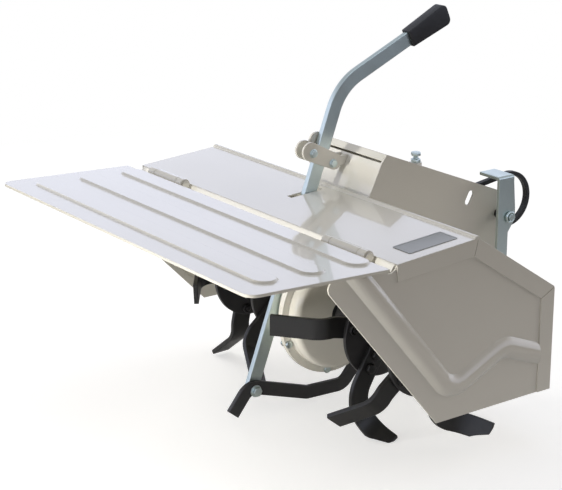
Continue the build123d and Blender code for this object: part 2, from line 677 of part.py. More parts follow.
def stand_clip():
    """Round wire clip on the pin's end: a straight leg through the pin and a ring about it."""
    x = ARM_HALF + STAND_BUSH + STAND_THICK + 2 * CLIP_WIRE
    leg = Pos(x, STAND_PIN_Y, STAND_PIN_Z) * Cylinder(CLIP_WIRE, 2 * CLIP_RING)
    ring = Pos(x, STAND_PIN_Y, STAND_PIN_Z) * (Rot(0, 90, 0) * Torus(CLIP_RING, CLIP_WIRE))
    return leg + ring


def stand_bushes():
    """The two spacers that hold the stand clear of the arm's wall."""
    x0 = ARM_HALF
    x1 = ARM_HALF + STAND_BUSH
    bushes = []
    for y, z, bore in (
        (STAND_PIN_Y, STAND_PIN_Z, STAND_PIN_RADIUS + SHAFT_CLEARANCE),
        (STAND_BOLT_Y, STAND_BOLT_Z, M8 + BOLT_CLEARANCE),
    ):
        bush = disc(y, z, STAND_BUSH_RADIUS + bore - STAND_PIN_RADIUS, x0, x1)
        bushes.append(bush - disc(y, z, bore, x0, x1))
    return bushes


def stand_bolt():
    """Lower bolt of the stand with its nut inside the arm."""
    return bolt(STAND_BOLT_Y, STAND_BOLT_Z, M8, ARM_HALF + STAND_BUSH + STAND_THICK, ARM_HALF - ARM_WALL)


def case_circles(grow):
    """The two circles that the chain case is stretched round, grown by a margin."""
    return [(ROTOR_Y, ROTOR_Z, CASE_LOWER + grow), (INPUT_Y, INPUT_Z, CASE_UPPER + grow)]


def case_bolt_places():
    """Places of the bolts round the case's seam flange."""
    places = []
    margin = CASE_FLANGE / 2 + M6 / 4
    reach = CASE_LOWER + margin
    for index in range(CASE_BOLT_COUNT):
        turn = radians(CASE_RISE + CASE_BOLT_FIRST + index * CASE_BOLT_STEP)
        places.append((ROTOR_Y + reach * cos(turn), ROTOR_Z + reach * sin(turn)))
    reach = CASE_UPPER + margin
    for index in (-1, 0, 1):
        turn = radians(CASE_RISE + index * CASE_TOP_BOLT_STEP)
        places.append((INPUT_Y + reach * cos(turn), INPUT_Z + reach * sin(turn)))
    return places


def chain_case(side):
    """One half of the chain case with its seam flange, bearing seats and bores."""
    outer = CASE_RIGHT if side > 0 else CASE_LEFT
    seam = CASE_MIDDLE
    rim = seam + side * CASE_FLANGE_THICK
    inner = outer - side * CASE_WALL
    body = hull(case_circles(0.0), min(seam, outer), max(seam, outer))
    face = body.faces().sort_by(Axis.X)[-1 if side > 0 else 0]
    body = fillet(face.edges(), CASE_EDGE)
    body += hull(case_circles(CASE_FLANGE), min(seam, rim), max(seam, rim))
    cavity = hull(case_circles(-CASE_WALL), min(seam, inner), max(seam, inner))
    if side < 0:
        x0 = SKID_RIGHT + SKID_GAP
        share = SKID_LUG_ROOT / hypot(SKID_PIVOT_Y - ROTOR_Y, SKID_PIVOT_Z - ROTOR_Z)
        root_y = ROTOR_Y + share * (SKID_PIVOT_Y - ROTOR_Y)
        root_z = ROTOR_Z + share * (SKID_PIVOT_Z - ROTOR_Z)
        ends = [(SKID_PIVOT_Y, SKID_PIVOT_Z, SKID_LUG_RADIUS), (root_y, root_z, 2 * SKID_LUG_RADIUS)]
        body += hull(ends, x0, x0 + SKID_LUG)
        body -= disc(SKID_PIVOT_Y, SKID_PIVOT_Z, M8 + SHAFT_CLEARANCE, x0, x0 + SKID_LUG)
    body -= cavity
    for y, z, radius, width in (
        (ROTOR_Y, ROTOR_Z, ROTOR_BEARING, ROTOR_BEARING_WIDTH),
        (INPUT_Y, INPUT_Z, INPUT_BEARING, INPUT_BEARING_WIDTH),
    ):
        deep = inner - side * width
        seat = disc(y, z, radius + BEARING_SEAT, min(inner, deep), max(inner, deep))
        body += seat - disc(y, z, radius + PIN_CLEARANCE / 2, min(inner, deep), max(inner, deep))
    body -= disc(ROTOR_Y, ROTOR_Z, SEAL_RADIUS + PIN_CLEARANCE / 2, min(inner, outer), max(inner, outer))
    if side > 0:
        body -= disc(INPUT_Y, INPUT_Z, INPUT_SHAFT + INPUT_HOLE_GAP, min(inner, outer), max(inner, outer))
    for y, z in case_bolt_places():
        body -= disc(y, z, M6 + BOLT_CLEARANCE, min(seam, rim), max(seam, rim))
    return body


def case_bolts():
    """Bolts with nuts through the case's seam flange."""
    right = CASE_MIDDLE + CASE_FLANGE_THICK
    left = CASE_MIDDLE - CASE_FLANGE_THICK
    return [bolt(y, z, M6, right, left) for y, z in case_bolt_places()]


def tangent_turn():
    """Angle from the line of centres to the points where the chain leaves its sprockets."""
    return degrees(atan2(CHAIN_RUN, ROTOR_PITCH_RADIUS - INPUT_PITCH_RADIUS))


def sprocket(y, z, teeth, pitch_radius, bore):
    """Sprocket whose first tooth gap lies where the upper run of chain leaves it."""
    start = CASE_RISE + tangent_turn()
    blank = Circle(pitch_radius + TOOTH_RISE)
    rim = 2 * TOOTH_RISE
    wide = ROLLER_SEAT + TOOTH_FLARE
    mouth = Polyline((0, -ROLLER_SEAT), (rim, -wide), (rim, wide), (0, ROLLER_SEAT), close=True)
    blank -= PolarLocations(pitch_radius, teeth, start) * (Circle(ROLLER_SEAT) + make_face(mouth))
    blank -= Circle(bore)
    x0 = CASE_MIDDLE - SPROCKET_THICK / 2
    return extrude(Plane.YZ.offset(x0) * (Pos(y, z) * blank), SPROCKET_THICK)


def roller_places():
    """Centres of the chain's rollers along both runs, clear of the turning teeth."""
    places = []
    for side in (1, -1):
        angle = radians(CASE_RISE + side * tangent_turn())
        y0 = ROTOR_Y + ROTOR_PITCH_RADIUS * cos(angle)
        z0 = ROTOR_Z + ROTOR_PITCH_RADIUS * sin(angle)
        y1 = INPUT_Y + INPUT_PITCH_RADIUS * cos(angle)
        z1 = INPUT_Z + INPUT_PITCH_RADIUS * sin(angle)
        for step in range(1, RUN_PITCHES):
            y = y0 + (y1 - y0) * step / RUN_PITCHES
            z = z0 + (z1 - z0) * step / RUN_PITCHES
            reach = TOOTH_RISE + ROLLER_RADIUS + TOOTH_GAP
            free = hypot(y - ROTOR_Y, z - ROTOR_Z) > ROTOR_PITCH_RADIUS + reach
            if free and hypot(y - INPUT_Y, z - INPUT_Z) > INPUT_PITCH_RADIUS + reach:
                places.append((y, z))
    return places


def drive_chain():
    """Roller chain drawn as one loop: two side bands, with rollers between them on its free runs."""
    low = CASE_MIDDLE - CHAIN_INSIDE / 2
    high = CASE_MIDDLE + CHAIN_INSIDE / 2
    wide = [(ROTOR_Y, ROTOR_Z, ROTOR_PITCH_RADIUS + CHAIN_PLATE_HALF)]
    wide += [(INPUT_Y, INPUT_Z, INPUT_PITCH_RADIUS + CHAIN_PLATE_HALF)]
    slim = [(ROTOR_Y, ROTOR_Z, ROTOR_PITCH_RADIUS - CHAIN_PLATE_HALF)]
    slim += [(INPUT_Y, INPUT_Z, INPUT_PITCH_RADIUS - CHAIN_PLATE_HALF)]
    chain = hull(wide, low - CHAIN_PLATE, low) - hull(slim, low - CHAIN_PLATE, low)
    chain += hull(wide, high, high + CHAIN_PLATE) - hull(slim, high, high + CHAIN_PLATE)
    return chain + [disc(y, z, ROLLER_RADIUS, low, high) for y, z in roller_places()]


def bearing(y, z, bore, radius, x0, x1):
    """Closed ball bearing drawn as one ring."""
    return disc(y, z, radius, x0, x1) - disc(y, z, bore + SHAFT_CLEARANCE, x0, x1)


def bearings(y, z, bore, radius, width):
    """The pair of bearings of one shaft, seated against the case's side walls."""
    right = CASE_RIGHT - CASE_WALL
    left = CASE_LEFT + CASE_WALL
    right_ring = bearing(y, z, bore, radius, right - width, right)
    return [right_ring, bearing(y, z, bore, radius, left, left + width)]


def rotor_seals():
    """Shaft seals in the case's side walls."""
    right = (CASE_RIGHT - CASE_WALL, CASE_RIGHT)
    left = (CASE_LEFT, CASE_LEFT + CASE_WALL)
    return [bearing(ROTOR_Y, ROTOR_Z, ROTOR_SHAFT, SEAL_RADIUS, *ends) for ends in (right, left)]


def rotor_shaft():
    """Through shaft that carries both halves of the rotor."""
    return disc(ROTOR_Y, ROTOR_Z, ROTOR_SHAFT, CASE_MIDDLE - TUBE_END, CASE_MIDDLE + TUBE_END)


def jackshaft():
    """Input shaft from the blind bearing to the outer face of the pulley."""
    end = CASE_RIGHT + PULLEY_GAP + PULLEY_WIDTH
    return disc(INPUT_Y, INPUT_Z, INPUT_SHAFT, CASE_LEFT + CASE_WALL, end)


def drive_pulley():
    """Grooved belt pulley on the outer end of the input shaft."""
    x0 = CASE_RIGHT + PULLEY_GAP
    x1 = x0 + PULLEY_WIDTH
    middle = (x0 + x1) / 2
    pulley = disc(INPUT_Y, INPUT_Z, PULLEY_RADIUS, x0, x1)
    half = BELT_WIDTH / 2 + BELT_SEAT
    room = disc(INPUT_Y, INPUT_Z, PULLEY_RADIUS, middle - half, middle + half)
    room -= disc(INPUT_Y, INPUT_Z, PULLEY_RADIUS - PULLEY_GROOVE, x0, x1)
    return pulley - room - disc(INPUT_Y, INPUT_Z, INPUT_SHAFT, x0, x1)


def drive_belt():
    """Slack drive belt round the pulley, its free loop reaching out in front of the arm."""
    middle = CASE_RIGHT + PULLEY_GAP + PULLEY_WIDTH / 2
    rear_radius = PULLEY_RADIUS - PULLEY_GROOVE + BELT_SEAT + BELT_THICK
    span_y = BELT_LOOP_Y - INPUT_Y
    span_z = BELT_LOOP_Z - INPUT_Z
    fan = degrees(asin((BELT_LOOP - rear_radius) / hypot(span_y, span_z)))
    low = degrees(atan2(span_z, span_y)) - 90 - fan
    high = 90 - BELT_FALL

    def on_rear(angle):
        turn = radians(angle)
        return (INPUT_Y + rear_radius * cos(turn), INPUT_Z + rear_radius * sin(turn))

    def on_loop(angle):
        turn = radians(angle)
        return (BELT_LOOP_Y + BELT_LOOP * cos(turn), BELT_LOOP_Z + BELT_LOOP * sin(turn))

    top = on_rear(high)
    dip = (BELT_DIP_Y, top[1] - (BELT_DIP_Y - top[0]) * tan(radians(BELT_FALL)))
    reach = hypot(BELT_LOOP_Y - dip[0], BELT_LOOP_Z - dip[1])
    climb = degrees(atan2(BELT_LOOP_Z - dip[1], BELT_LOOP_Y - dip[0]) + asin(BELT_LOOP / reach)) + 90
    rear_arc = CenterArc((INPUT_Y, INPUT_Z), rear_radius, high, 360 + low - high)
    front_arc = CenterArc((BELT_LOOP_Y, BELT_LOOP_Z), BELT_LOOP, low, climb - low)
    lines = [Line(top, dip), Line(dip, on_loop(climb)), Line(on_loop(low), on_rear(low))]
    loop = make_face([rear_arc, front_arc] + lines)
    loop = fillet(loop.vertices().sort_by_distance((dip[0], dip[1], 0))[0], BELT_DIP_RADIUS)
    band = loop - offset(loop, -BELT_THICK)
    return extrude(Plane.YZ.offset(middle - BELT_WIDTH / 2) * band, BELT_WIDTH)


def about_rotor(piece, phase):
    """Turn a piece drawn hanging from the rotor's axis to its phase, and carry it to the axis."""
    return Pos(CASE_MIDDLE, ROTOR_Y, ROTOR_Z) * (Rot(phase, 0, 0) * piece)


def tine_bolt_radii():
    """Distances of a tine's two bolts from the rotor's axis."""
    return (TINE_BOLT_INNER, TINE_BOLT_OUTER)


def flanges(side):
    """Tine flanges of one half from the case's middle: name, station, outboard and inboard phase."""
    if side > 0:
        inner = ("inner", FLANGE_INNER, RIGHT_INNER_OUTBOARD_PHASE, RIGHT_INNER_INBOARD_PHASE)
        return [inner, ("outer", FLANGE_OUTER, RIGHT_OUTER_OUTBOARD_PHASE, RIGHT_OUTER_INBOARD_PHASE)]
    inner = ("inner", -FLANGE_INNER, LEFT_INNER_OUTBOARD_PHASE, LEFT_INNER_INBOARD_PHASE)
    return [inner, ("outer", -FLANGE_OUTER, LEFT_OUTER_OUTBOARD_PHASE, LEFT_OUTER_INBOARD_PHASE)]


def rotor_half(side):
    """Rotor tube of one half with its two tine flanges."""
    end = CASE_MIDDLE + side * TUBE_END
    start = CASE_RIGHT + TUBE_GAP if side > 0 else CASE_LEFT - TUBE_GAP
    body = disc(ROTOR_Y, ROTOR_Z, TUBE_RADIUS, min(start, end), max(start, end))
    for _, station, outboard, inboard in flanges(side):
        x0 = station - TINE_FLANGE_THICK / 2
        x1 = station + TINE_FLANGE_THICK / 2
        body += about_rotor(disc(0, 0, TINE_FLANGE, x0, x1), 0)
        for phase in (outboard, inboard, outboard + 180, inboard + 180):
            for radius in tine_bolt_radii():
                body -= about_rotor(disc(0, -radius, M8 + BOLT_CLEARANCE, x0, x1), phase)
    return body - disc(ROTOR_Y, ROTOR_Z, ROTOR_SHAFT + SHAFT_CLEARANCE, min(start, end), max(start, end))


def tine(station, way, sweep, sweep_radius, bend, bend_radius, tip):
    """Tine hanging from the rotor's axis: shank, forward sweep in its plane, sideways bend and tip."""
    x = station + way * (TINE_FLANGE_THICK + TINE_THICK) / 2
    blank = Rectangle(TINE_WIDTH, TINE_THICK)
    shank_end = Plane(origin=(x, 0, -TINE_SHANK), x_dir=(0, 1, 0), z_dir=(0, 0, -1)) * blank
    blade = extrude(shank_end, TINE_ROOT - TINE_SHANK)
    blade += revolve(shank_end, Axis((x, sweep_radius, -TINE_SHANK), (1, 0, 0)), sweep)
    turn = radians(sweep)
    over = radians(bend)
    width = Vector(0, cos(turn), sin(turn))
    onward = Vector(0, sin(turn), -cos(turn))
    sideways = Vector(way, 0, 0)
    corner = Vector(x, sweep_radius * (1 - cos(turn)), -TINE_SHANK - sweep_radius * sin(turn))
    bend_start = Plane(origin=corner, x_dir=width, z_dir=onward) * blank
    blade += revolve(bend_start, Axis(corner + sideways * bend_radius, width * -way), bend)
    tip_root = corner + onward * (bend_radius * sin(over)) + sideways * (bend_radius * (1 - cos(over)))
    tip_way = onward * cos(over) + sideways * sin(over)
    blade += extrude(Plane(origin=tip_root, x_dir=width, z_dir=tip_way) * blank, tip)
    blade &= disc(0, 0, TINE_RADIUS, -HOOD_WIDTH, HOOD_WIDTH)
    for radius in tine_bolt_radii():
        blade -= disc(0, -radius, M8 + BOLT_CLEARANCE, x - TINE_THICK, x + TINE_THICK)
    return blade


def tine_pair(station, way, phase, hooked):
    """Two opposite tines on one face of one flange."""
    if hooked:
        piece = tine(station, way, HOOK_SWEEP, HOOK_SWEEP_RADIUS, HOOK_BEND, HOOK_BEND_RADIUS, HOOK_TIP)
    else:
        piece = tine(station, way, TINE_SWEEP, TINE_SWEEP_RADIUS, TINE_BEND, TINE_BEND_RADIUS, TINE_TIP)
    return [about_rotor(piece, phase + turn) for turn in (0, 180)]


def tine_bolts():
    """Bolts with nuts that hold every tine to its flange."""
    bolts = []
    for side in (1, -1):
        for _, station, outboard, inboard in flanges(side):
            for phase, way in ((outboard, side), (inboard, -side)):
                head = station + way * (TINE_FLANGE_THICK / 2 + TINE_THICK)
                nut = station - way * TINE_FLANGE_THICK / 2
                for turn in (0, 180):
                    for radius in tine_bolt_radii():
                        bolts.append(about_rotor(bolt(0, -radius, M8, head, nut), phase + turn))
    return bolts


def depth_lever():
    """Flat depth lever, bent forward above the hood."""
    points = [(LEVER_FOOT_Y, LEVER_FOOT_Z), (LEVER_BEND_Y, LEVER_BEND_Z), (LEVER_END_Y, LEVER_END_Z)]
    lever = bar(flat_path(LEVER_X, points, LEVER_BEND_RADIUS), LEVER_WIDTH, LEVER_THICK)
    lever += disc(LEVER_FOOT_Y, LEVER_FOOT_Z, LEVER_WIDTH / 2, LEVER_LEFT, LEVER_RIGHT)
    return lever - disc(LEVER_FOOT_Y, LEVER_FOOT_Z, M8 + PIN_CLEARANCE, LEVER_LEFT, LEVER_RIGHT)


def lever_grip():
    """Flared grip with cut corners, pushed over the lever's end."""
    rise = degrees(atan2(LEVER_END_Z - LEVER_BEND_Z, LEVER_END_Y - LEVER_BEND_Y))
    start = GRIP_CAP - GRIP_LENGTH
    shoulder = GRIP_CAP - GRIP_CORNER
    half = GRIP_WIDTH / 2
    neck = GRIP_NECK / 2
    points = [(start, neck), (shoulder, half), (GRIP_CAP, half - GRIP_CORNER)]
    points += [(GRIP_CAP, GRIP_CORNER - half), (shoulder, -half), (start, -neck)]
    grip = plate(points, -GRIP_THICK / 2, GRIP_THICK / 2)
    sides = grip.faces().sort_by(Axis.X)
    grip = chamfer(sides[0].edges() + sides[-1].edges(), GRIP_CAP)
    room = Box(LEVER_THICK + 2 * GRIP_CLEARANCE, GRIP_LENGTH, LEVER_WIDTH + 2 * GRIP_CLEARANCE)
    grip -= Pos(0, GRIP_CLEARANCE - GRIP_LENGTH / 2, 0) * room
    return Pos(LEVER_X, LEVER_END_Y, LEVER_END_Z) * (Rot(rise, 0, 0) * grip)


def guide_bolt_places():
    """Places of the two bolts of the lever's guide."""
    return [(GUIDE_BOLT_REAR_Y, GUIDE_BOLT_REAR_Z), (GUIDE_BOLT_FRONT_Y, GUIDE_BOLT_FRONT_Z)]


def guide_faces(side):
    """Inner and outer face of one guide plate along X."""
    inner = LEVER_X + side * (LEVER_THICK / 2 + GUIDE_GAP)
    return (inner, inner + side * GUIDE_THICK)


def lever_guide(side):
    """Guide plate beside the lever, its front tab seated on the arm's rear wall."""
    faces = guide_faces(side)
    x0 = min(faces)
    x1 = max(faces)
    rear = (GUIDE_REAR_Y, GUIDE_REAR_Z, GUIDE_RADIUS)
    guide = hull([rear, (GUIDE_FRONT_Y, GUIDE_FRONT_Z, GUIDE_NOSE)], x0, x1)
    low = GUIDE_FRONT_Z - GUIDE_TAB
    high = GUIDE_FRONT_Z + GUIDE_TAB
    tab = [(GUIDE_FRONT_Y, low), (rear_wall(low), low), (rear_wall(high), high), (GUIDE_FRONT_Y, high)]
    guide += plate(tab, x0, x1)
    if side < 0:
        lobe_foot = (GUIDE_LOBE_Y, GUIDE_REAR_Z - GUIDE_RADIUS, GUIDE_LOBE)
        guide += hull([(GUIDE_LOBE_Y, GUIDE_LOBE_Z, GUIDE_LOBE), lobe_foot], x0, x1)
    for y, z in guide_bolt_places():
        guide -= disc(y, z, M6 + BOLT_CLEARANCE, x0, x1)
    return guide


def guide_bolts():
    """Bolts with nuts through both guide plates and their spacers."""
    right = guide_faces(1)[1]
    left = guide_faces(-1)[1]
    return [bolt(y, z, M6, right, left) for y, z in guide_bolt_places()]


def guide_spacers():
    """Spacer tubes that keep the guide plates apart, one behind and one before the lever."""
    x0 = guide_faces(-1)[0]
    x1 = guide_faces(1)[0]
    bore = M6 + BOLT_CLEARANCE
    return [disc(y, z, GUIDE_SPACER, x0, x1) - disc(y, z, bore, x0, x1) for y, z in guide_bolt_places()]


def skid_arm():
    """Bent skid bar from its pivot on the chain case to the turned-down tail."""
    points = [(SKID_PIVOT_Y, SKID_PIVOT_Z), (SKID_FRONT_Y, SKID_FRONT_Z), (SKID_SOLE_Y, SKID_SOLE_Z)]
    points += [(SKID_HEEL_Y, SKID_HEEL_Z), (SKID_TAIL_Y, SKID_TAIL_Z)]
    x = (SKID_LEFT + SKID_RIGHT) / 2
    skid = bar(flat_path(x, points, SKID_BEND), SKID_WIDTH, SKID_THICK)
    skid += disc(SKID_PIVOT_Y, SKID_PIVOT_Z, SKID_WIDTH / 2, SKID_LEFT, SKID_RIGHT)
    skid -= disc(SKID_PIVOT_Y, SKID_PIVOT_Z, M8 + PIN_CLEARANCE, SKID_LEFT, SKID_RIGHT)
    return skid - disc(LEVER_FOOT_Y, LEVER_FOOT_Z, M8 + PIN_CLEARANCE, SKID_LEFT, SKID_RIGHT)


def skid_pivot_bolt():
    """Shouldered pivot bolt of the skid, fixed in the chain case's lug."""
    lug = SKID_RIGHT + SKID_GAP
    return bolt(SKID_PIVOT_Y, SKID_PIVOT_Z, M8, SKID_LEFT - SKID_GAP, lug + SKID_LUG)


def lever_foot_bolt():
    """Flanged bolt that joins the lever's foot to the skid, fixed in the skid."""
    return bolt(LEVER_FOOT_Y, LEVER_FOOT_Z, M8, SKID_RIGHT, LEVER_LEFT - SKID_GAP, flange=FOOT_BOLT_FLANGE)


def lowest(pieces):
    """Lowest height of a list of pieces."""
    return min(piece.bounding_box().min.Z for piece in pieces)


def assemble():
    """Every node of the part: its name with its piece or list of pieces."""
    nodes = {
        "hood": hood(),
        "name_plate": name_plate(),
        "side_plate_right": side_plate(1),
        "side_plate_left": side_plate(-1),
        "rear_flap": rear_flap(),
        "hinge_pins": hinge_pins(),
        "hitch_arm": hitch_arm(),
        "arm_cover": arm_cover(),
        "clamp_bolt": clamp_bolt(),
        "stand_pin": stand_pin(),
        "stand_clip": stand_clip(),
        "stand_bushes": stand_bushes(),
        "stand_bolt": stand_bolt(),
        "chain_case_right": chain_case(1),
        "chain_case_left": chain_case(-1),
        "case_bolts": case_bolts(),
        "rotor_sprocket": sprocket(ROTOR_Y, ROTOR_Z, ROTOR_TEETH, ROTOR_PITCH_RADIUS, ROTOR_SHAFT),
        "input_sprocket": sprocket(INPUT_Y, INPUT_Z, INPUT_TEETH, INPUT_PITCH_RADIUS, INPUT_SHAFT),
        "drive_chain": drive_chain(),
        "rotor_bearings": bearings(ROTOR_Y, ROTOR_Z, ROTOR_SHAFT, ROTOR_BEARING, ROTOR_BEARING_WIDTH),
        "input_bearings": bearings(INPUT_Y, INPUT_Z, INPUT_SHAFT, INPUT_BEARING, INPUT_BEARING_WIDTH),
        "rotor_seals": rotor_seals(),
        "rotor_shaft": rotor_shaft(),
        "jackshaft": jackshaft(),
        "drive_pulley": drive_pulley(),
        "drive_belt": drive_belt(),
        "rotor_right": rotor_half(1),
        "rotor_left": rotor_half(-1),
        "tine_bolts": tine_bolts(),
        "depth_lever": depth_lever(),
        "lever_grip": lever_grip(),
        "lever_guide_right": lever_guide(1),
        "lever_guide_left": lever_guide(-1),
        "guide_bolts": guide_bolts(),
        "guide_spacers": guide_spacers(),
        "skid_arm": skid_arm(),
        "skid_pivot_bolt": skid_pivot_bolt(),
        "lever_foot_bolt": lever_foot_bolt(),
    }
    for name, station in hinge_stations().items():
        nodes["hinge_hood_leaf_" + name] = hinge_hood_leaf(station)
        nodes["hinge_flap_leaf_" + name] = hinge_flap_leaf(station)
    tines = []
    for name, side in (("right", 1), ("left", -1)):
        for place, station, outboard, inboard in flanges(side):
            outer = tine_pair(station, side, outboard, side > 0)
            inner = tine_pair(station, -side, inboard, False)
            nodes[f"tines_{name}_{place}_outboard"] = outer
            nodes[f"tines_{name}_{place}_inboard"] = inner
            tines += outer + inner
    nodes["front_stand"] = front_stand(lowest(tines))
    return nodes


def as_shape(piece):
    """One shape of a node: a single piece, or separate solids kept together."""
    solids = []
    for item in piece if isinstance(piece, list) else [piece]:
        solids += item.solids()
    return solids[0] if len(solids) == 1 else Compound(children=solids)


def main():
    """Draw every node, move the part's origin under its middle and write the files."""
    shapes = {name: as_shape(piece) for name, piece in assemble().items()}
    boxes = [shape.bounding_box() for shape in shapes.values()]
    low = [min(getattr(box.min, axis) for box in boxes) for axis in "XYZ"]
    high = [max(getattr(box.max, axis) for box in boxes) for axis in "XYZ"]
    shift = Pos(-(low[0] + high[0]) / 2, -(low[1] + high[1]) / 2, -low[2])
    os.makedirs("parts", exist_ok=True)
    for name, shape in shapes.items():
        export_step(shift * shape, f"parts/{name}.step")
    print("origin moved by", shift.position)


main()
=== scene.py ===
"""Studio scene of a rotary tiller attachment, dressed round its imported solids.

Blender works in metres in the part's own frame: X along the rotor to the right, Y forward to the tractor
and Z up from the floor. The sizes that the classes of the pieces hold are in millimetres.
"""

import json
import logging
import math
from dataclasses import dataclass, field
from enum import Enum
from typing import Callable, ClassVar, Iterable

import bpy
from mathutils import Matrix, Vector


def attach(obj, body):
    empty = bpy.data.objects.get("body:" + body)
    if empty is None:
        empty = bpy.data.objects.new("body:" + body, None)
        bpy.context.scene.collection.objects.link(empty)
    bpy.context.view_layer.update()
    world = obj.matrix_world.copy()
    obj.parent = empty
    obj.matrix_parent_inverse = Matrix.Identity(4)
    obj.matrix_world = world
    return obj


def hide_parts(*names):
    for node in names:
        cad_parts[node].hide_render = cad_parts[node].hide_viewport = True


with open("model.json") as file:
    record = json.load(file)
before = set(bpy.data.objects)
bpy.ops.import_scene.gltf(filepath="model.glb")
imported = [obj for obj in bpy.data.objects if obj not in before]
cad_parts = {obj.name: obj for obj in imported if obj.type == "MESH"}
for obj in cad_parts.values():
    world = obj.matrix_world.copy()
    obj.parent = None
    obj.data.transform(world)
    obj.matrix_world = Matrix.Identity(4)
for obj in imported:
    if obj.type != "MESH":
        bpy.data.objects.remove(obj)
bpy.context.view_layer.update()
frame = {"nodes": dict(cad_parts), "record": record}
LOG = logging.getLogger("tiller")
MM = 0.001
HOOD_EDGE = Vector((0.0, 0.0217404, 0.324561))
WHITE = (1.0, 1.0, 1.0)
BLACK = (0.0, 0.0, 0.0)
UNIT = (0.0, 1.0)
# Share of a face's normal along an axis from which the face looks that way.
SQUARE_ON = 0.9

Span = tuple[float, float]
Triple = tuple[float, float, float]
VectorTest = Callable[[Vector, Vector], bool]


class Slot(Enum):
    """Material slots of the part's record."""

    CREAM = "cream_paint"
    ZINC = "zinc"
    BLACK = "black_paint"
    TINE = "black_tine"
    STEEL = "machined_steel"
    SEAL = "seal_rubber"
    BELT = "belt_rubber"
    GRIP = "grip_plastic"
    PLATE = "plain_plate"


class Body(Enum):
    """Bodies that new pieces ride on."""

    FRAME = "frame"
    FLAP = "flap"
    ROTOR = "rotor"
    SKID = "skid"
    LEVER = "lever"


class Nodes:
    """Short hand for laying out the nodes of one node tree."""

    def __init__(self, tree: bpy.types.NodeTree) -> None:
        """Keep the tree that the nodes go into.

        Args:
            tree: Node tree of a material, a world or a group.
        """
        self.tree = tree

    def add(self, kind: str, **values: object) -> bpy.types.Node:
        """Add one node and set its properties or input sockets.

        Args:
            kind: Blender's node type.
            values: Property names, or input names with underscores for blanks.

        Returns:
            The new node.
        """
        node = self.tree.nodes.new(kind)
        for key, value in values.items():
            if hasattr(node, key):
                setattr(node, key, value)
            else:
                node.inputs[key.replace("_", " ")].default_value = value
        return node

    def link(self, source: bpy.types.NodeSocket, target: bpy.types.NodeSocket) -> None:
        """Join an output socket to an input socket."""
        self.tree.links.new(source, target)

    def reckon(self, operation: str, *values: float | bpy.types.NodeSocket) -> bpy.types.NodeSocket:
        """Work out one value from others.

        Args:
            operation: Blender's name of the operation.
            values: Numbers or value sockets, in the order of the operation's inputs.

        Returns:
            The output socket of the result.
        """
        node = self.add("ShaderNodeMath", operation=operation)
        for socket, value in zip(node.inputs, values):
            if isinstance(value, float):
                socket.default_value = value
            else:
                self.link(value, socket)
        return node.outputs[0]

    def ramp(self, source: bpy.types.NodeSocket, read: Span, give: Span = UNIT) -> bpy.types.NodeSocket:
        """Map a value from one range to another, held at both ends.

        Args:
            source: Value to map.
            read: Start and end of the range that is read.
            give: Results at the start and at the end.

        Returns:
            The mapped output socket.
        """
        node = self.add("ShaderNodeMapRange")
        for name, value in zip(("From Min", "From Max", "To Min", "To Max"), (*read, *give)):
            node.inputs[name].default_value = value
        self.link(source, node.inputs["Value"])
        return node.outputs["Result"]

    def mix(
        self,
        factor: bpy.types.NodeSocket,
        low: Triple | bpy.types.NodeSocket,
        high: Triple | bpy.types.NodeSocket,
    ) -> bpy.types.NodeSocket:
        """Mix two colours by a mask.

        Args:
            factor: Mask from 0 to 1.
            low: Plain colour or colour socket at 0.
            high: Plain colour or colour socket at 1.

        Returns:
            The colour output socket.
        """
        node = self.add("ShaderNodeMix", data_type="RGBA")
        for name, colour in (("A", low), ("B", high)):
            if isinstance(colour, tuple):
                node.inputs[name].default_value = (*colour, 1.0)
            else:
                self.link(colour, node.inputs[name])
        self.link(factor, node.inputs["Factor"])
        return next(out for out in node.outputs if out.type == "RGBA")


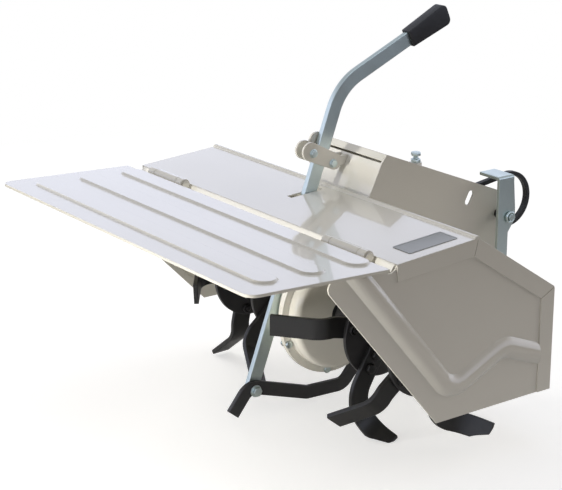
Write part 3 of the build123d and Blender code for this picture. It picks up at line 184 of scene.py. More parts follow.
class EffectGroups:
    """Shader node groups that more than one finish uses, each built once."""

    FINE_SHARE: ClassVar[float] = 0.35
    CLOUD_RANGE: ClassVar[Span] = (0.2, 1.15)
    EDGE_RANGE: ClassVar[Span] = (0.995, 0.85)
    BREAK_RANGE: ClassVar[Span] = (0.45, 0.62)
    EDGE_SAMPLES: ClassVar[int] = 6

    def __init__(self) -> None:
        """Build every group."""
        self.mottle = self._mottle()
        self.peel = self._peel()
        self.edges = self._edges()

    @staticmethod
    def _start(
        name: str, inputs: Iterable[tuple[str, float]], outputs: Iterable[tuple[str, str]],
    ) -> tuple[bpy.types.NodeTree, bpy.types.Node, bpy.types.Node, Nodes]:
        """Make an empty group with named sockets.

        Args:
            name: Name of the group.
            inputs: Name and default of each input value.
            outputs: Name and socket type of each output.

        Returns:
            The group, its input node, its output node and its node layer.
        """
        group = bpy.data.node_groups.new(name, "ShaderNodeTree")
        for label, value in inputs:
            socket = group.interface.new_socket(label, in_out="INPUT", socket_type="NodeSocketFloat")
            socket.default_value = value
        for label, kind in outputs:
            group.interface.new_socket(label, in_out="OUTPUT", socket_type=kind)
        nodes = Nodes(group)
        return group, nodes.add("NodeGroupInput"), nodes.add("NodeGroupOutput"), nodes

    def _mottle(self) -> bpy.types.NodeTree:
        """Slow cloudy mask with a finer one inside it.

        Returns:
            The group.
        """
        group, start, end, nodes = self._start(
            "cloudy mottle", [("Scale", 20.0), ("Fine", 6.0)], [("Mask", "NodeSocketFloat")])
        place = nodes.add("ShaderNodeTexCoord").outputs["Object"]
        slow = nodes.add("ShaderNodeTexNoise", Detail=4.0, Roughness=0.55)
        fine = nodes.add("ShaderNodeTexNoise", Detail=3.0, Roughness=0.5)
        for node in (slow, fine):
            nodes.link(place, node.inputs["Vector"])
        fine_scale = nodes.reckon("MULTIPLY", start.outputs["Scale"], start.outputs["Fine"])
        nodes.link(start.outputs["Scale"], slow.inputs["Scale"])
        nodes.link(fine_scale, fine.inputs["Scale"])
        clouds = nodes.reckon("MULTIPLY_ADD", fine.outputs["Fac"], self.FINE_SHARE, slow.outputs["Fac"])
        nodes.link(nodes.ramp(clouds, self.CLOUD_RANGE), end.inputs["Mask"])
        return group

    def _peel(self) -> bpy.types.NodeTree:
        """Fine height of sprayed paint, plating or moulded grain.

        Returns:
            The group.
        """
        group, start, end, nodes = self._start(
            "fine skin", [("Scale", 600.0), ("Detail", 2.0)], [("Height", "NodeSocketFloat")])
        place = nodes.add("ShaderNodeTexCoord").outputs["Object"]
        skin = nodes.add("ShaderNodeTexNoise", Roughness=0.5)
        nodes.link(place, skin.inputs["Vector"])
        for name in ("Scale", "Detail"):
            nodes.link(start.outputs[name], skin.inputs[name])
        nodes.link(skin.outputs["Fac"], end.inputs["Height"])
        return group

    def _edges(self) -> bpy.types.NodeTree:
        """Rounded normal along edges, and a broken mask of the worn edges themselves.

        Returns:
            The group.
        """
        group, start, end, nodes = self._start(
            "soft edges", [("Radius", 0.001), ("Break", 90.0)],
            [("Normal", "NodeSocketVector"), ("Wear", "NodeSocketFloat")])
        place = nodes.add("ShaderNodeTexCoord").outputs["Object"]
        round_off = nodes.add("ShaderNodeBevel", samples=self.EDGE_SAMPLES)
        flat = nodes.add("ShaderNodeNewGeometry")
        dot = nodes.add("ShaderNodeVectorMath", operation="DOT_PRODUCT")
        noise = nodes.add("ShaderNodeTexNoise", Detail=5.0, Roughness=0.7)
        nodes.link(start.outputs["Radius"], round_off.inputs["Radius"])
        nodes.link(round_off.outputs["Normal"], dot.inputs[0])
        nodes.link(flat.outputs["Normal"], dot.inputs[1])
        nodes.link(place, noise.inputs["Vector"])
        nodes.link(start.outputs["Break"], noise.inputs["Scale"])
        along_edges = nodes.ramp(dot.outputs["Value"], self.EDGE_RANGE)
        broken = nodes.ramp(noise.outputs["Fac"], self.BREAK_RANGE)
        nodes.link(round_off.outputs["Normal"], end.inputs["Normal"])
        nodes.link(nodes.reckon("MULTIPLY", along_edges, broken), end.inputs["Wear"])
        return group


@dataclass(frozen=True)
class Finish:
    """One finish: its tones, gloss, fine skin and wear.

    Attributes:
        name: Name of the material.
        slot: Slot of the record that it fills.
        tone: Main colour.
        second_tone: Colour that the clouds of the mottle bring in.
        rough: Roughness in the main tone and in the second one.
        metallic: Metallic share.
        coat: Weight of the clear coat.
        coat_rough: Roughness of the clear coat.
        specular: Specular level.
        mottle_scale: Scale of the clouds.
        skin_scale: Scale of the fine skin.
        skin_depth: Height of the fine skin, in metres.
        edge_radius: Radius of the softened edges, in metres.
        wear: Share of the worn tone along the edges.
        worn_tone: Colour of a worn edge.
    """

    name: str
    slot: Slot
    tone: Triple
    second_tone: Triple
    rough: Span
    metallic: float = 0.0
    coat: float = 0.0
    coat_rough: float = 0.1
    specular: float = 0.5
    mottle_scale: float = 14.0
    skin_scale: float = 700.0
    skin_depth: float = 0.00002
    edge_radius: float = 0.0012
    wear: float = 0.0
    worn_tone: Triple = (0.1, 0.1, 0.1)

    def build(self, groups: EffectGroups) -> bpy.types.Material:
        """Make the material.

        Args:
            groups: Shared shader groups.

        Returns:
            The finished material.
        """
        material = bpy.data.materials.new(self.name)
        material.use_nodes = True
        nodes = Nodes(material.node_tree)
        shader = material.node_tree.nodes["Principled BSDF"]
        mottle = nodes.add("ShaderNodeGroup", node_tree=groups.mottle, Scale=self.mottle_scale)
        clouds = mottle.outputs["Mask"]
        skin = nodes.add("ShaderNodeGroup", node_tree=groups.peel, Scale=self.skin_scale)
        edges = nodes.add("ShaderNodeGroup", node_tree=groups.edges, Radius=self.edge_radius)
        colour = nodes.mix(clouds, self.tone, self.second_tone)
        if self.wear > 0.0:
            worn = nodes.reckon("MULTIPLY", edges.outputs["Wear"], self.wear)
            colour = nodes.mix(worn, colour, self.worn_tone)
        nodes.link(colour, shader.inputs["Base Color"])
        nodes.link(nodes.ramp(clouds, UNIT, self.rough), shader.inputs["Roughness"])
        bump = nodes.add("ShaderNodeBump", Strength=1.0, Distance=self.skin_depth)
        nodes.link(skin.outputs["Height"], bump.inputs["Height"])
        nodes.link(edges.outputs["Normal"], bump.inputs["Normal"])
        nodes.link(bump.outputs["Normal"], shader.inputs["Normal"])
        shader.inputs["Metallic"].default_value = self.metallic
        shader.inputs["Coat Weight"].default_value = self.coat
        shader.inputs["Coat Roughness"].default_value = self.coat_rough
        shader.inputs["Specular IOR Level"].default_value = self.specular
        return material


FINISHES = (
    Finish("cream enamel", Slot.CREAM, (0.765, 0.740, 0.660), (0.745, 0.720, 0.640), (0.20, 0.28),
           coat=1.0, coat_rough=0.03, mottle_scale=9.0, skin_scale=300.0, skin_depth=0.000006,
           edge_radius=0.0006),
    Finish("bright zinc", Slot.ZINC, (0.64, 0.72, 0.70), (0.535, 0.615, 0.60), (0.30, 0.42),
           metallic=1.0, mottle_scale=60.0, skin_scale=900.0, skin_depth=0.00002, edge_radius=0.0006),
    Finish("satin black", Slot.BLACK, (0.020, 0.020, 0.021), (0.027, 0.026, 0.027), (0.34, 0.46),
           mottle_scale=40.0, skin_scale=650.0, skin_depth=0.00004,
           wear=0.35, worn_tone=(0.09, 0.085, 0.08)),
    Finish("dipped tine black", Slot.TINE, (0.009, 0.009, 0.0095), (0.014, 0.0137, 0.0133), (0.28, 0.44),
           mottle_scale=55.0, skin_scale=380.0, skin_depth=0.00007, edge_radius=0.0018,
           wear=0.4, worn_tone=(0.10, 0.095, 0.09)),
    Finish("oiled steel", Slot.STEEL, (0.46, 0.455, 0.44), (0.38, 0.37, 0.35), (0.26, 0.40),
           metallic=1.0, mottle_scale=45.0, skin_scale=900.0, skin_depth=0.00002),
    Finish("seal rubber", Slot.SEAL, (0.02, 0.02, 0.02), (0.028, 0.028, 0.028), (0.6, 0.75),
           mottle_scale=60.0),
    Finish("belt rubber", Slot.BELT, (0.012, 0.012, 0.0125), (0.02, 0.02, 0.02), (0.42, 0.6),
           mottle_scale=70.0, skin_scale=1500.0, skin_depth=0.00005),
    Finish("moulded grip", Slot.GRIP, (0.016, 0.016, 0.018), (0.022, 0.022, 0.024), (0.40, 0.52),
           mottle_scale=50.0, skin_scale=1800.0, skin_depth=0.00008, edge_radius=0.002,
           wear=0.15, worn_tone=(0.06, 0.06, 0.06)),
    Finish("plain satin plate", Slot.PLATE, (0.36, 0.37, 0.365), (0.33, 0.335, 0.33), (0.34, 0.42),
           metallic=0.3, mottle_scale=30.0, skin_scale=1200.0, edge_radius=0.0006),
)


class Wardrobe:
    """Every material of the part, found by its slot."""

    def __init__(self) -> None:
        """Build the shared groups and then every finish."""
        groups = EffectGroups()
        self.by_slot = {finish.slot: finish.build(groups) for finish in FINISHES}

    def dress(self, piece: bpy.types.Object, slot: Slot) -> None:
        """Give a mesh one finish all over.

        Args:
            piece: Mesh object to dress.
            slot: Slot of the record that names the finish.
        """
        piece.data.materials.clear()
        piece.data.materials.append(self.by_slot[slot])

    def dress_solids(self) -> None:
        """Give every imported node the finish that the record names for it."""
        for part in frame["record"]["subparts"]:
            self.dress(frame["nodes"][part["node"]], Slot(part["material_slot"]))

    def put_on(self, piece: bpy.types.Object, node: str, slot: Slot, body: Body) -> None:
        """Dress a new piece, let it ride on a body and put it in a node's place.

        Args:
            piece: New piece.
            node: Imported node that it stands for.
            slot: Slot of the record that names its finish.
            body: Body that it rides on.
        """
        self.dress(piece, slot)
        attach(piece, body.value)
        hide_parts(node)


class Bench:
    """Modelling as by hand: add a primitive, pick what to shape, finish it with modifiers."""

    SHARP: ClassVar[float] = math.radians(30.0)
    SMOOTH: ClassVar[float] = math.radians(40.0)

    @staticmethod
    def clear() -> None:
        """Leave nothing selected, in object mode."""
        if bpy.context.object and bpy.context.object.mode != "OBJECT":
            bpy.ops.object.mode_set(mode="OBJECT")
        bpy.ops.object.select_all(action="DESELECT")

    @classmethod
    def choose(cls, piece: bpy.types.Object) -> None:
        """Select one piece alone and make it active.

        Args:
            piece: Piece to select.
        """
        cls.clear()
        piece.select_set(True)
        bpy.context.view_layer.objects.active = piece

    @staticmethod
    def settle() -> bpy.types.Object:
        """Move the place and size of the newest primitive into its mesh.

        Returns:
            The primitive.
        """
        bpy.ops.object.transform_apply(location=True, rotation=True, scale=True)
        return bpy.context.object

    @classmethod
    def prism(cls, sides: int, radius: float, low: float, high: float) -> bpy.types.Object:
        """Add an upright prism or round bar about the Z axis.

        Args:
            sides: Number of sides.
            radius: Radius over its corners.
            low: Height of its underside.
            high: Height of its top.

        Returns:
            The new piece, with its place in its mesh.
        """
        cls.clear()
        middle = (0.0, 0.0, (low + high) / 2)
        bpy.ops.mesh.primitive_cylinder_add(vertices=sides, radius=radius, depth=high - low, location=middle)
        return cls.settle()

    @classmethod
    def block(cls, size: Triple, middle: Triple) -> bpy.types.Object:
        """Add a block of a size about a middle.

        Args:
            size: Lengths along X, Y and Z.
            middle: Middle of the block.

        Returns:
            The new piece, with its place in its mesh.
        """
        cls.clear()
        bpy.ops.mesh.primitive_cube_add(size=1.0, location=middle)
        bpy.context.object.scale = size
        return cls.settle()

    @classmethod
    def _enter(cls, piece: bpy.types.Object, kind: str) -> None:
        """Clear the selection inside one piece and set what edit mode selects.

        Args:
            piece: Piece to edit.
            kind: FACE or EDGE.
        """
        cls.choose(piece)
        bpy.ops.object.mode_set(mode="EDIT")
        bpy.ops.mesh.select_mode(type=kind)
        bpy.ops.mesh.select_all(action="DESELECT")
        bpy.ops.object.mode_set(mode="OBJECT")

    @classmethod
    def pick_faces(cls, piece: bpy.types.Object, test: VectorTest = lambda place, normal: True) -> None:
        """Go into edit mode with some faces selected, or all of them.

        Args:
            piece: Piece to edit.
            test: Whether a face with this middle and normal is selected.
        """
        cls._enter(piece, "FACE")
        for face in piece.data.polygons:
            face.select = test(face.center, face.normal)
        bpy.ops.object.mode_set(mode="EDIT")

    @classmethod
    def pick_edges(cls, piece: bpy.types.Object, test: VectorTest) -> None:
        """Go into edit mode with some edges selected.

        Args:
            piece: Piece to edit.
            test: Whether an edge with these two ends is selected.
        """
        cls._enter(piece, "EDGE")
        points = piece.data.vertices
        for edge in piece.data.edges:
            edge.select = test(points[edge.vertices[0]].co, points[edge.vertices[1]].co)
        bpy.ops.object.mode_set(mode="EDIT")

    @classmethod
    def modify(cls, piece: bpy.types.Object, kind: str, **values: object) -> None:
        """Add one modifier with its values and apply it.

        Args:
            piece: Piece to change.
            kind: Blender's modifier type.
            values: Properties of the modifier.
        """
        cls.choose(piece)
        modifier = piece.modifiers.new(kind.lower(), kind)
        for key, value in values.items():
            setattr(modifier, key, value)
        bpy.ops.object.modifier_apply(modifier=modifier.name)

    @classmethod
    def shade(cls, piece: bpy.types.Object, angle: float) -> None:
        """Shade a piece smooth, apart from edges sharper than an angle."""
        cls.choose(piece)
        bpy.ops.object.shade_smooth_by_angle(angle=angle)

    @classmethod
    def soften(cls, piece: bpy.types.Object, width: float, segments: int = 2) -> None:
        """Round the sharp edges of a piece and shade it smooth between them.

        Args:
            piece: Piece to round.
            width: Width of the rounding.
            segments: Steps across the rounding.
        """
        cls.modify(
            piece, "BEVEL", width=width, segments=segments, limit_method="ANGLE", angle_limit=cls.SHARP)
        cls.shade(piece, cls.SMOOTH)

    @classmethod
    def clean(cls, piece: bpy.types.Object, reach: float) -> None:
        """Merge points closer than a reach and take out what has no size.

        Args:
            piece: Piece to clean.
            reach: Distance within which points are merged.
        """
        cls.pick_faces(piece)
        bpy.ops.mesh.remove_doubles(threshold=reach)
        bpy.ops.mesh.dissolve_degenerate(threshold=reach)
        cls.clear()

    @staticmethod
    def copy(piece: bpy.types.Object, turn: Matrix) -> bpy.types.Object:
        """Copy a piece with its own mesh, moved by a matrix.

        Args:
            piece: Piece to copy.
            turn: Where the copy goes.

        Returns:
            The copy.
        """
        twin = piece.copy()
        twin.data = piece.data.copy()
        twin.data.transform(turn)
        bpy.context.scene.collection.objects.link(twin)
        return twin

    @classmethod
    def join(cls, pieces: list[bpy.types.Object], name: str) -> bpy.types.Object:
        """Join pieces into one object.

        Args:
            pieces: Pieces to join.
            name: Name of the result.

        Returns:
            The joined object.
        """
        cls.clear()
        for piece in pieces:
            piece.select_set(True)
        bpy.context.view_layer.objects.active = pieces[0]
        bpy.ops.object.join()
        pieces[0].name = name
        pieces[0].data.name = name
        return pieces[0]

    @staticmethod
    def drop(*pieces: bpy.types.Object) -> None:
        """Remove pieces that were only models for copies."""
        for piece in pieces:
            bpy.data.objects.remove(piece, do_unlink=True)


def from_hood(x: float, y: float, z: float) -> Vector:
    """Point given in millimetres from the middle of the hood's front top edge."""
    return HOOD_EDGE + Vector((x, y, z)) * MM


class Way(Enum):
    """Direction that a fastener's head looks, turned from straight up."""

    RIGHT = Matrix.Rotation(math.radians(90.0), 4, "Y")
    LEFT = Matrix.Rotation(math.radians(-90.0), 4, "Y")


@dataclass
class FastenerKit:
    """Hexagon head, nut and thread end of one thread size, modelled once and copied.

    Attributes:
        radius: Radius of the thread, in metres.
        flats: Width across the flats, in thread diameters.
        height: Height of head and nut, in thread diameters.
        chamfer: Radius of the end's flat circle, in widths across the flats.
        chamfer_slope: Widening of the chamfer for its height.
        edge: Rounding of the hexagon's edges, in thread radii.
        mouth: Inset of the nut's countersunk mouth, in thread radii.
        mouth_depth: Depth of that mouth, in thread radii.
        tail: Length of the thread past the nut, in thread radii.
        pitch: Pitch of the thread, in thread radii.
        root: Radius of the thread's root, in thread radii.
        washer_thick: Thickness of a washer, in thread radii.
        washer_rim: Rounding of a washer's rims, in its thickness.
    """

    radius: float
    flats: float = 1.63
    height: float = 0.65
    chamfer: float = 0.475
    chamfer_slope: float = 1.73
    edge: float = 0.04
    mouth: float = 0.45
    mouth_depth: float = 0.12
    tail: float = 0.55
    pitch: float = 0.3
    root: float = 0.86
    washer_thick: float = 0.28
    washer_rim: float = 0.3
    CHAMFER_SIDES: ClassVar[int] = 40
    THREAD_SIDES: ClassVar[int] = 20
    WASHER_SIDES: ClassVar[int] = 36
    NUT_FACING: ClassVar[float] = 0.95
    NUT_TOP: ClassVar[float] = 0.9

    def __post_init__(self) -> None:
        """Model the head, the nut and the thread end."""
        self.seat_height = 2 * self.radius * self.height
        self.head_model = self._hexagon()
        self.nut_model = self._hexagon()
        self._open_nut()
        self.tail_model = self.thread(self.seat_height, self.seat_height + self.tail * self.radius)

    def _hexagon(self) -> bpy.types.Object:
        """Hexagon with a round chamfer on its outer end and its seat at zero.

        Returns:
            The new hexagon.
        """
        flats = 2 * self.radius * self.flats
        piece = Bench.prism(6, flats / math.sqrt(3.0), 0.0, self.seat_height)
        narrow = self.chamfer * flats
        Bench.clear()
        bpy.ops.mesh.primitive_cone_add(
            vertices=self.CHAMFER_SIDES, radius1=narrow + self.chamfer_slope * self.seat_height,
            radius2=narrow, depth=self.seat_height, location=(0.0, 0.0, self.seat_height / 2))
        cone = Bench.settle()
        Bench.modify(piece, "BOOLEAN", operation="INTERSECT", object=cone)
        Bench.drop(cone)
        Bench.soften(piece, self.edge * self.radius, 1)
        return piece

    def _open_nut(self) -> None:
        """Sink a countersunk mouth into the nut's outer face."""
        top = self.NUT_TOP * self.seat_height
        Bench.pick_faces(self.nut_model, lambda place, normal: normal.z > self.NUT_FACING and place.z > top)
        bpy.ops.mesh.inset(thickness=self.mouth * self.radius)
        bpy.ops.transform.translate(value=(0.0, 0.0, -self.mouth_depth * self.radius))
        Bench.clear()

    def thread(self, low: float, high: float) -> bpy.types.Object:
        """Ridged thread about the Z axis.

        Args:
            low: Height of its start.
            high: Height of its end.

        Returns:
            The new thread.
        """
        step = self.radius * self.pitch / 2
        Bench.clear()
        bpy.ops.mesh.primitive_circle_add(
            vertices=self.THREAD_SIDES, radius=self.root * self.radius, fill_type="NGON",
            location=(0.0, 0.0, low))
        piece = Bench.settle()
        Bench.pick_faces(piece)
        for index in range(max(2, int((high - low) / step))):
            bpy.ops.mesh.extrude_region_move(TRANSFORM_OT_translate={"value": (0.0, 0.0, step)})
            grow = self.root if index % 2 else 1 / self.root
            bpy.ops.transform.resize(value=(grow, grow, 1.0))
        bpy.ops.mesh.select_all(action="SELECT")
        bpy.ops.mesh.normals_make_consistent(inside=False)
        Bench.clear()
        return piece

    def washer(self, radius: float, thick: float) -> bpy.types.Object:
        """Round washer with softened rims, its seat at zero.

        Args:
            radius: Outer radius.
            thick: Thickness.

        Returns:
            The new washer.
        """
        piece = Bench.prism(self.WASHER_SIDES, radius, 0.0, thick)
        Bench.soften(piece, self.washer_rim * thick)
        return piece

    def fit(self, head: Vector, nut: Vector, way: Way, washers: float = 0.0) -> list[bpy.types.Object]:
        """Place one bolt with its nut.

        Args:
            head: Seat of the head.
            nut: Seat of the nut.
            way: Direction that the head looks.
            washers: Radius of the washers under head and nut, or zero.

        Returns:
            The pieces of the bolt.
        """
        at_head = Matrix.Translation(head) @ way.value
        at_nut = Matrix.Translation(nut) @ way.value @ Matrix.Rotation(math.pi, 4, "X")
        pieces = [
            Bench.copy(self.head_model, at_head),
            Bench.copy(self.nut_model, at_nut),
            Bench.copy(self.tail_model, at_nut),
        ]
        if washers > 0.0:
            ring = self.washer(washers, self.washer_thick * self.radius)
            pieces += [Bench.copy(ring, at_head), Bench.copy(ring, at_nut)]
            Bench.drop(ring)
        return pieces

    def done(self) -> None:
        """Remove the models once every copy is made."""
        Bench.drop(self.head_model, self.nut_model, self.tail_model)


@dataclass(frozen=True)
class TineFlange:
    """One flange of the rotor with a pair of tines on each face.

    Attributes:
        side: 1 on the right, -1 on the left.
        station: Distance of its middle from the rotor's middle.
        outboard: Angle of the tines on its outer face, in degrees.
        inboard: Angle of the tines on its inner face, in degrees.
    """

    side: int
    station: float
    outboard: float
    inboard: float


@dataclass(frozen=True)
class CrossBolt:
    """One bolt along X.

    Attributes:
        head: X of the seat of its head.
        nut: X of the seat of its nut.
        spot: Its Y and Z.
        way: Direction that its head looks.
    """

    head: float
    nut: float
    spot: Span
    way: Way = Way.RIGHT

    def fit(self, kit: FastenerKit, washers: float = 0.0) -> list[bpy.types.Object]:
        """Place the pieces of the bolt.

        Args:
            kit: Models of its thread size.
            washers: Radius of the washers under head and nut, or zero.

        Returns:
            The pieces of the bolt.
        """
        seats = from_hood(self.head, *self.spot), from_hood(self.nut, *self.spot)
        return kit.fit(*seats, self.way, washers * MM)


@dataclass(frozen=True)
class BoltRing:
    """Bolts on one circle round X.

    Attributes:
        middle: Y and Z of the circle's middle.
        reach: Radius of the circle.
        angles: Places on the circle, in degrees from Y towards Z.
    """

    middle: Span
    reach: float
    angles: tuple[float, ...]

    def spots(self) -> list[Span]:
        """Y and Z of every bolt.

        Returns:
            One pair for each angle.
        """
        y, z = self.middle
        turns = [math.radians(angle) for angle in self.angles]
        return [(y + self.reach * math.cos(turn), z + self.reach * math.sin(turn)) for turn in turns]


@dataclass
class Fasteners:
    """Every visible bolt of the part with its nut, in place of the plain ones."""

    wardrobe: Wardrobe
    rotor: Triple = (16.5, -15.0, -175.0)
    flange_half: float = 3.0
    tine_thick: float = 7.0
    tine_radii: Span = (35.0, 55.0)
    flanges: tuple[TineFlange, ...] = (
        TineFlange(1, 110.0, -30.0, -104.0),
        TineFlange(1, 204.0, 10.0, -53.0),
        TineFlange(-1, 110.0, -150.0, -50.0),
        TineFlange(-1, 204.0, -12.0, -101.0),
    )
    guide_bolts: tuple[CrossBolt, ...] = (
        CrossBolt(-3.5, -23.5, (-36.5, 54.5)),
        CrossBolt(-3.5, -23.5, (-1.5, 35.0)),
    )
    guide_washer: float = 6.4
    case_faces: Span = (20.5, 12.5)
    case_rings: tuple[BoltRing, ...] = (
        BoltRing((-15.0, -175.0), 90.0, (145.0, 203.0, 261.0, 319.0)),
        BoltRing((120.7788, -39.2212), 41.0, (-15.0, 45.0, 105.0)),
    )
    stand_bolt: CrossBolt = CrossBolt(95.0, 66.8, (240.5, -136.0))
    skid_pivot: CrossBolt = CrossBolt(-9.5, 4.3, (66.0, -256.0), Way.LEFT)
    lever_foot: CrossBolt = CrossBolt(-0.5, -17.9, (-139.0, -279.0))
    foot_flange_radius: float = 9.0
    foot_flange_thick: float = 1.6
    clamp_seat: Triple = (0.0, 150.0, 14.244)
    clamp_rise: float = 10.0
    clamp_depth: float = 14.0
    m8: FastenerKit = field(init=False)
    m6: FastenerKit = field(init=False)

    def build(self) -> None:
        """Model both thread sizes and place every bolt."""
        self.m8 = FastenerKit(4.0 * MM)
        self.m6 = FastenerKit(3.0 * MM)
        self._tine_bolts()
        self._guide_bolts()
        self._case_bolts()
        self._keep(self.stand_bolt.fit(self.m8), "stand_bolt", Body.FRAME)
        self._keep(self.skid_pivot.fit(self.m8), "skid_pivot_bolt", Body.FRAME)
        self._lever_foot_bolt()
        self._clamp_bolt()
        self.m8.done()
        self.m6.done()

    def _keep(self, pieces: list[bpy.types.Object], node: str, body: Body, slot: Slot = Slot.ZINC) -> None:
        """Join the pieces of one node and put them in its place.

        Args:
            pieces: Pieces of every bolt of the node.
            node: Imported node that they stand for.
            body: Body that they ride on.
            slot: Slot of the record that names their finish.
        """
        self.wardrobe.put_on(Bench.join(pieces, node + "_detail"), node, slot, body)
        LOG.info("%s modelled", node)

    def _tine_bolts(self) -> None:
        """Two bolts through the root of every tine."""
        pieces = []
        axis = from_hood(*self.rotor)
        for flange in self.flanges:
            middle = flange.side * flange.station
            for phase, way in ((flange.outboard, flange.side), (flange.inboard, -flange.side)):
                head = Vector(((middle + way * (self.flange_half + self.tine_thick)) * MM, 0.0, 0.0))
                nut = Vector(((middle - way * self.flange_half) * MM, 0.0, 0.0))
                look = Way.RIGHT if way > 0 else Way.LEFT
                for turn in (0.0, 180.0):
                    angle = math.radians(phase + turn)
                    for reach in self.tine_radii:
                        seat = axis + Vector((0.0, math.sin(angle), -math.cos(angle))) * reach * MM
                        pieces += self.m8.fit(seat + head, seat + nut, look)
        self._keep(pieces, "tine_bolts", Body.ROTOR, Slot.TINE)

    def _guide_bolts(self) -> None:
        """The two bolts of the lever's guide, with washers."""
        pieces = []
        for bolt in self.guide_bolts:
            pieces += bolt.fit(self.m6, self.guide_washer)
        self._keep(pieces, "guide_bolts", Body.FRAME)

    def _case_bolts(self) -> None:
        """Bolts round the seam flange of the chain case."""
        pieces = []
        for ring in self.case_rings:
            for spot in ring.spots():
                pieces += CrossBolt(*self.case_faces, spot).fit(self.m6)
        self._keep(pieces, "case_bolts", Body.FRAME)

    def _lever_foot_bolt(self) -> None:
        """Flanged bolt at the lever's foot."""
        bolt = self.lever_foot
        pieces = bolt.fit(self.m8)
        flange = self.m8.washer(self.foot_flange_radius * MM, self.foot_flange_thick * MM)
        seat = from_hood(bolt.head - self.foot_flange_thick, *bolt.spot)
        pieces.append(Bench.copy(flange, Matrix.Translation(seat) @ bolt.way.value))
        Bench.drop(flange)
        self._keep(pieces, "lever_foot_bolt", Body.SKID)

    def _clamp_bolt(self) -> None:
        """Upright clamp bolt with its lock nut on the lid's boss and the thread between them."""
        seat = Matrix.Translation(from_hood(*self.clamp_seat))
        top = Matrix.Translation((0.0, 0.0, self.clamp_rise * MM)) @ seat
        shaft = self.m8.thread(-self.clamp_depth * MM, self.clamp_rise * MM)
        pieces = [
            Bench.copy(self.m8.head_model, top),
            Bench.copy(self.m8.nut_model, seat),
            Bench.copy(shaft, seat),
        ]
        Bench.drop(shaft)
        self._keep(pieces, "clamp_bolt", Body.FRAME)


@dataclass(frozen=True)
class EdgeRounding:
    """Nodes of one body whose sheared, cast or forged edges get one rounding.

    Attributes:
        body: Body that the nodes belong to.
        width: Width of the rounding.
        nodes: Names of the nodes.
    """

    body: Body
    width: float
    nodes: tuple[str, ...]


ROUNDINGS = (
    EdgeRounding(Body.FRAME, 0.4, ("hood",)),
    EdgeRounding(Body.FRAME, 0.5, (
        "side_plate_right", "side_plate_left", "chain_case_right", "chain_case_left",
        "hinge_hood_leaf_right", "hinge_hood_leaf_left", "hinge_pins", "stand_pin", "stand_bushes")),
    EdgeRounding(Body.FRAME, 0.7, (
        "hitch_arm", "arm_cover", "lever_guide_right", "lever_guide_left", "front_stand", "drive_belt")),
    EdgeRounding(Body.FLAP, 0.5, ("rear_flap", "hinge_flap_leaf_right", "hinge_flap_leaf_left")),
    EdgeRounding(Body.LEVER, 0.9, ("depth_lever",)),
    EdgeRounding(Body.SKID, 0.8, ("skid_arm",)),
    EdgeRounding(Body.ROTOR, 0.8, ("rotor_right", "rotor_left") + tuple(
        f"tines_{side}_{place}_{face}"
        for side in ("right", "left") for place in ("inner", "outer") for face in ("inboard", "outboard"))),
)


@dataclass
class RoundedSolids:
    """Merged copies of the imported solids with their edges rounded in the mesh.

    Attributes:
        wardrobe: Finishes of the part.
        merge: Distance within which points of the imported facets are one.
        flat: Angle up to which facets are one face.
        sharp: Angle from which an edge is rounded.
        smooth: Angle up to which faces are shaded smooth.
        segments: Steps across a rounding.
        flat_weight: How far large faces set the normals.
    """

    wardrobe: Wardrobe
    merge: float = 0.001
    flat: float = math.radians(2.0)
    sharp: float = math.radians(35.0)
    smooth: float = math.radians(50.0)
    segments: int = 2
    flat_weight: int = 100

    def build(self) -> None:
        """Round every listed node."""
        slots = {part["node"]: Slot(part["material_slot"]) for part in frame["record"]["subparts"]}
        for rounding in ROUNDINGS:
            for node in rounding.nodes:
                piece = self._round(node, rounding.width * MM)
                self.wardrobe.put_on(piece, node, slots[node], rounding.body)
                LOG.info("%s rounded", node)

    def _round(self, node: str, width: float) -> bpy.types.Object:
        """Copy one node, merge its facets and round its edges.

        Args:
            node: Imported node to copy.
            width: Width of the rounding.

        Returns:
            The rounded copy.
        """
        solid = frame["nodes"][node]
        piece = bpy.data.objects.new(node + "_rounded", solid.data.copy())
        piece.data.transform(solid.matrix_world)
        bpy.context.scene.collection.objects.link(piece)
        Bench.pick_faces(piece)
        bpy.ops.mesh.remove_doubles(threshold=self.merge * MM)
        bpy.ops.mesh.dissolve_limited(angle_limit=self.flat)
        Bench.modify(piece, "BEVEL", width=width, segments=self.segments, limit_method="ANGLE",
                     angle_limit=self.sharp, use_clamp_overlap=False)
        Bench.shade(piece, self.smooth)
        Bench.modify(piece, "WEIGHTED_NORMAL", mode="FACE_AREA", weight=self.flat_weight, keep_sharp=True)
        return piece


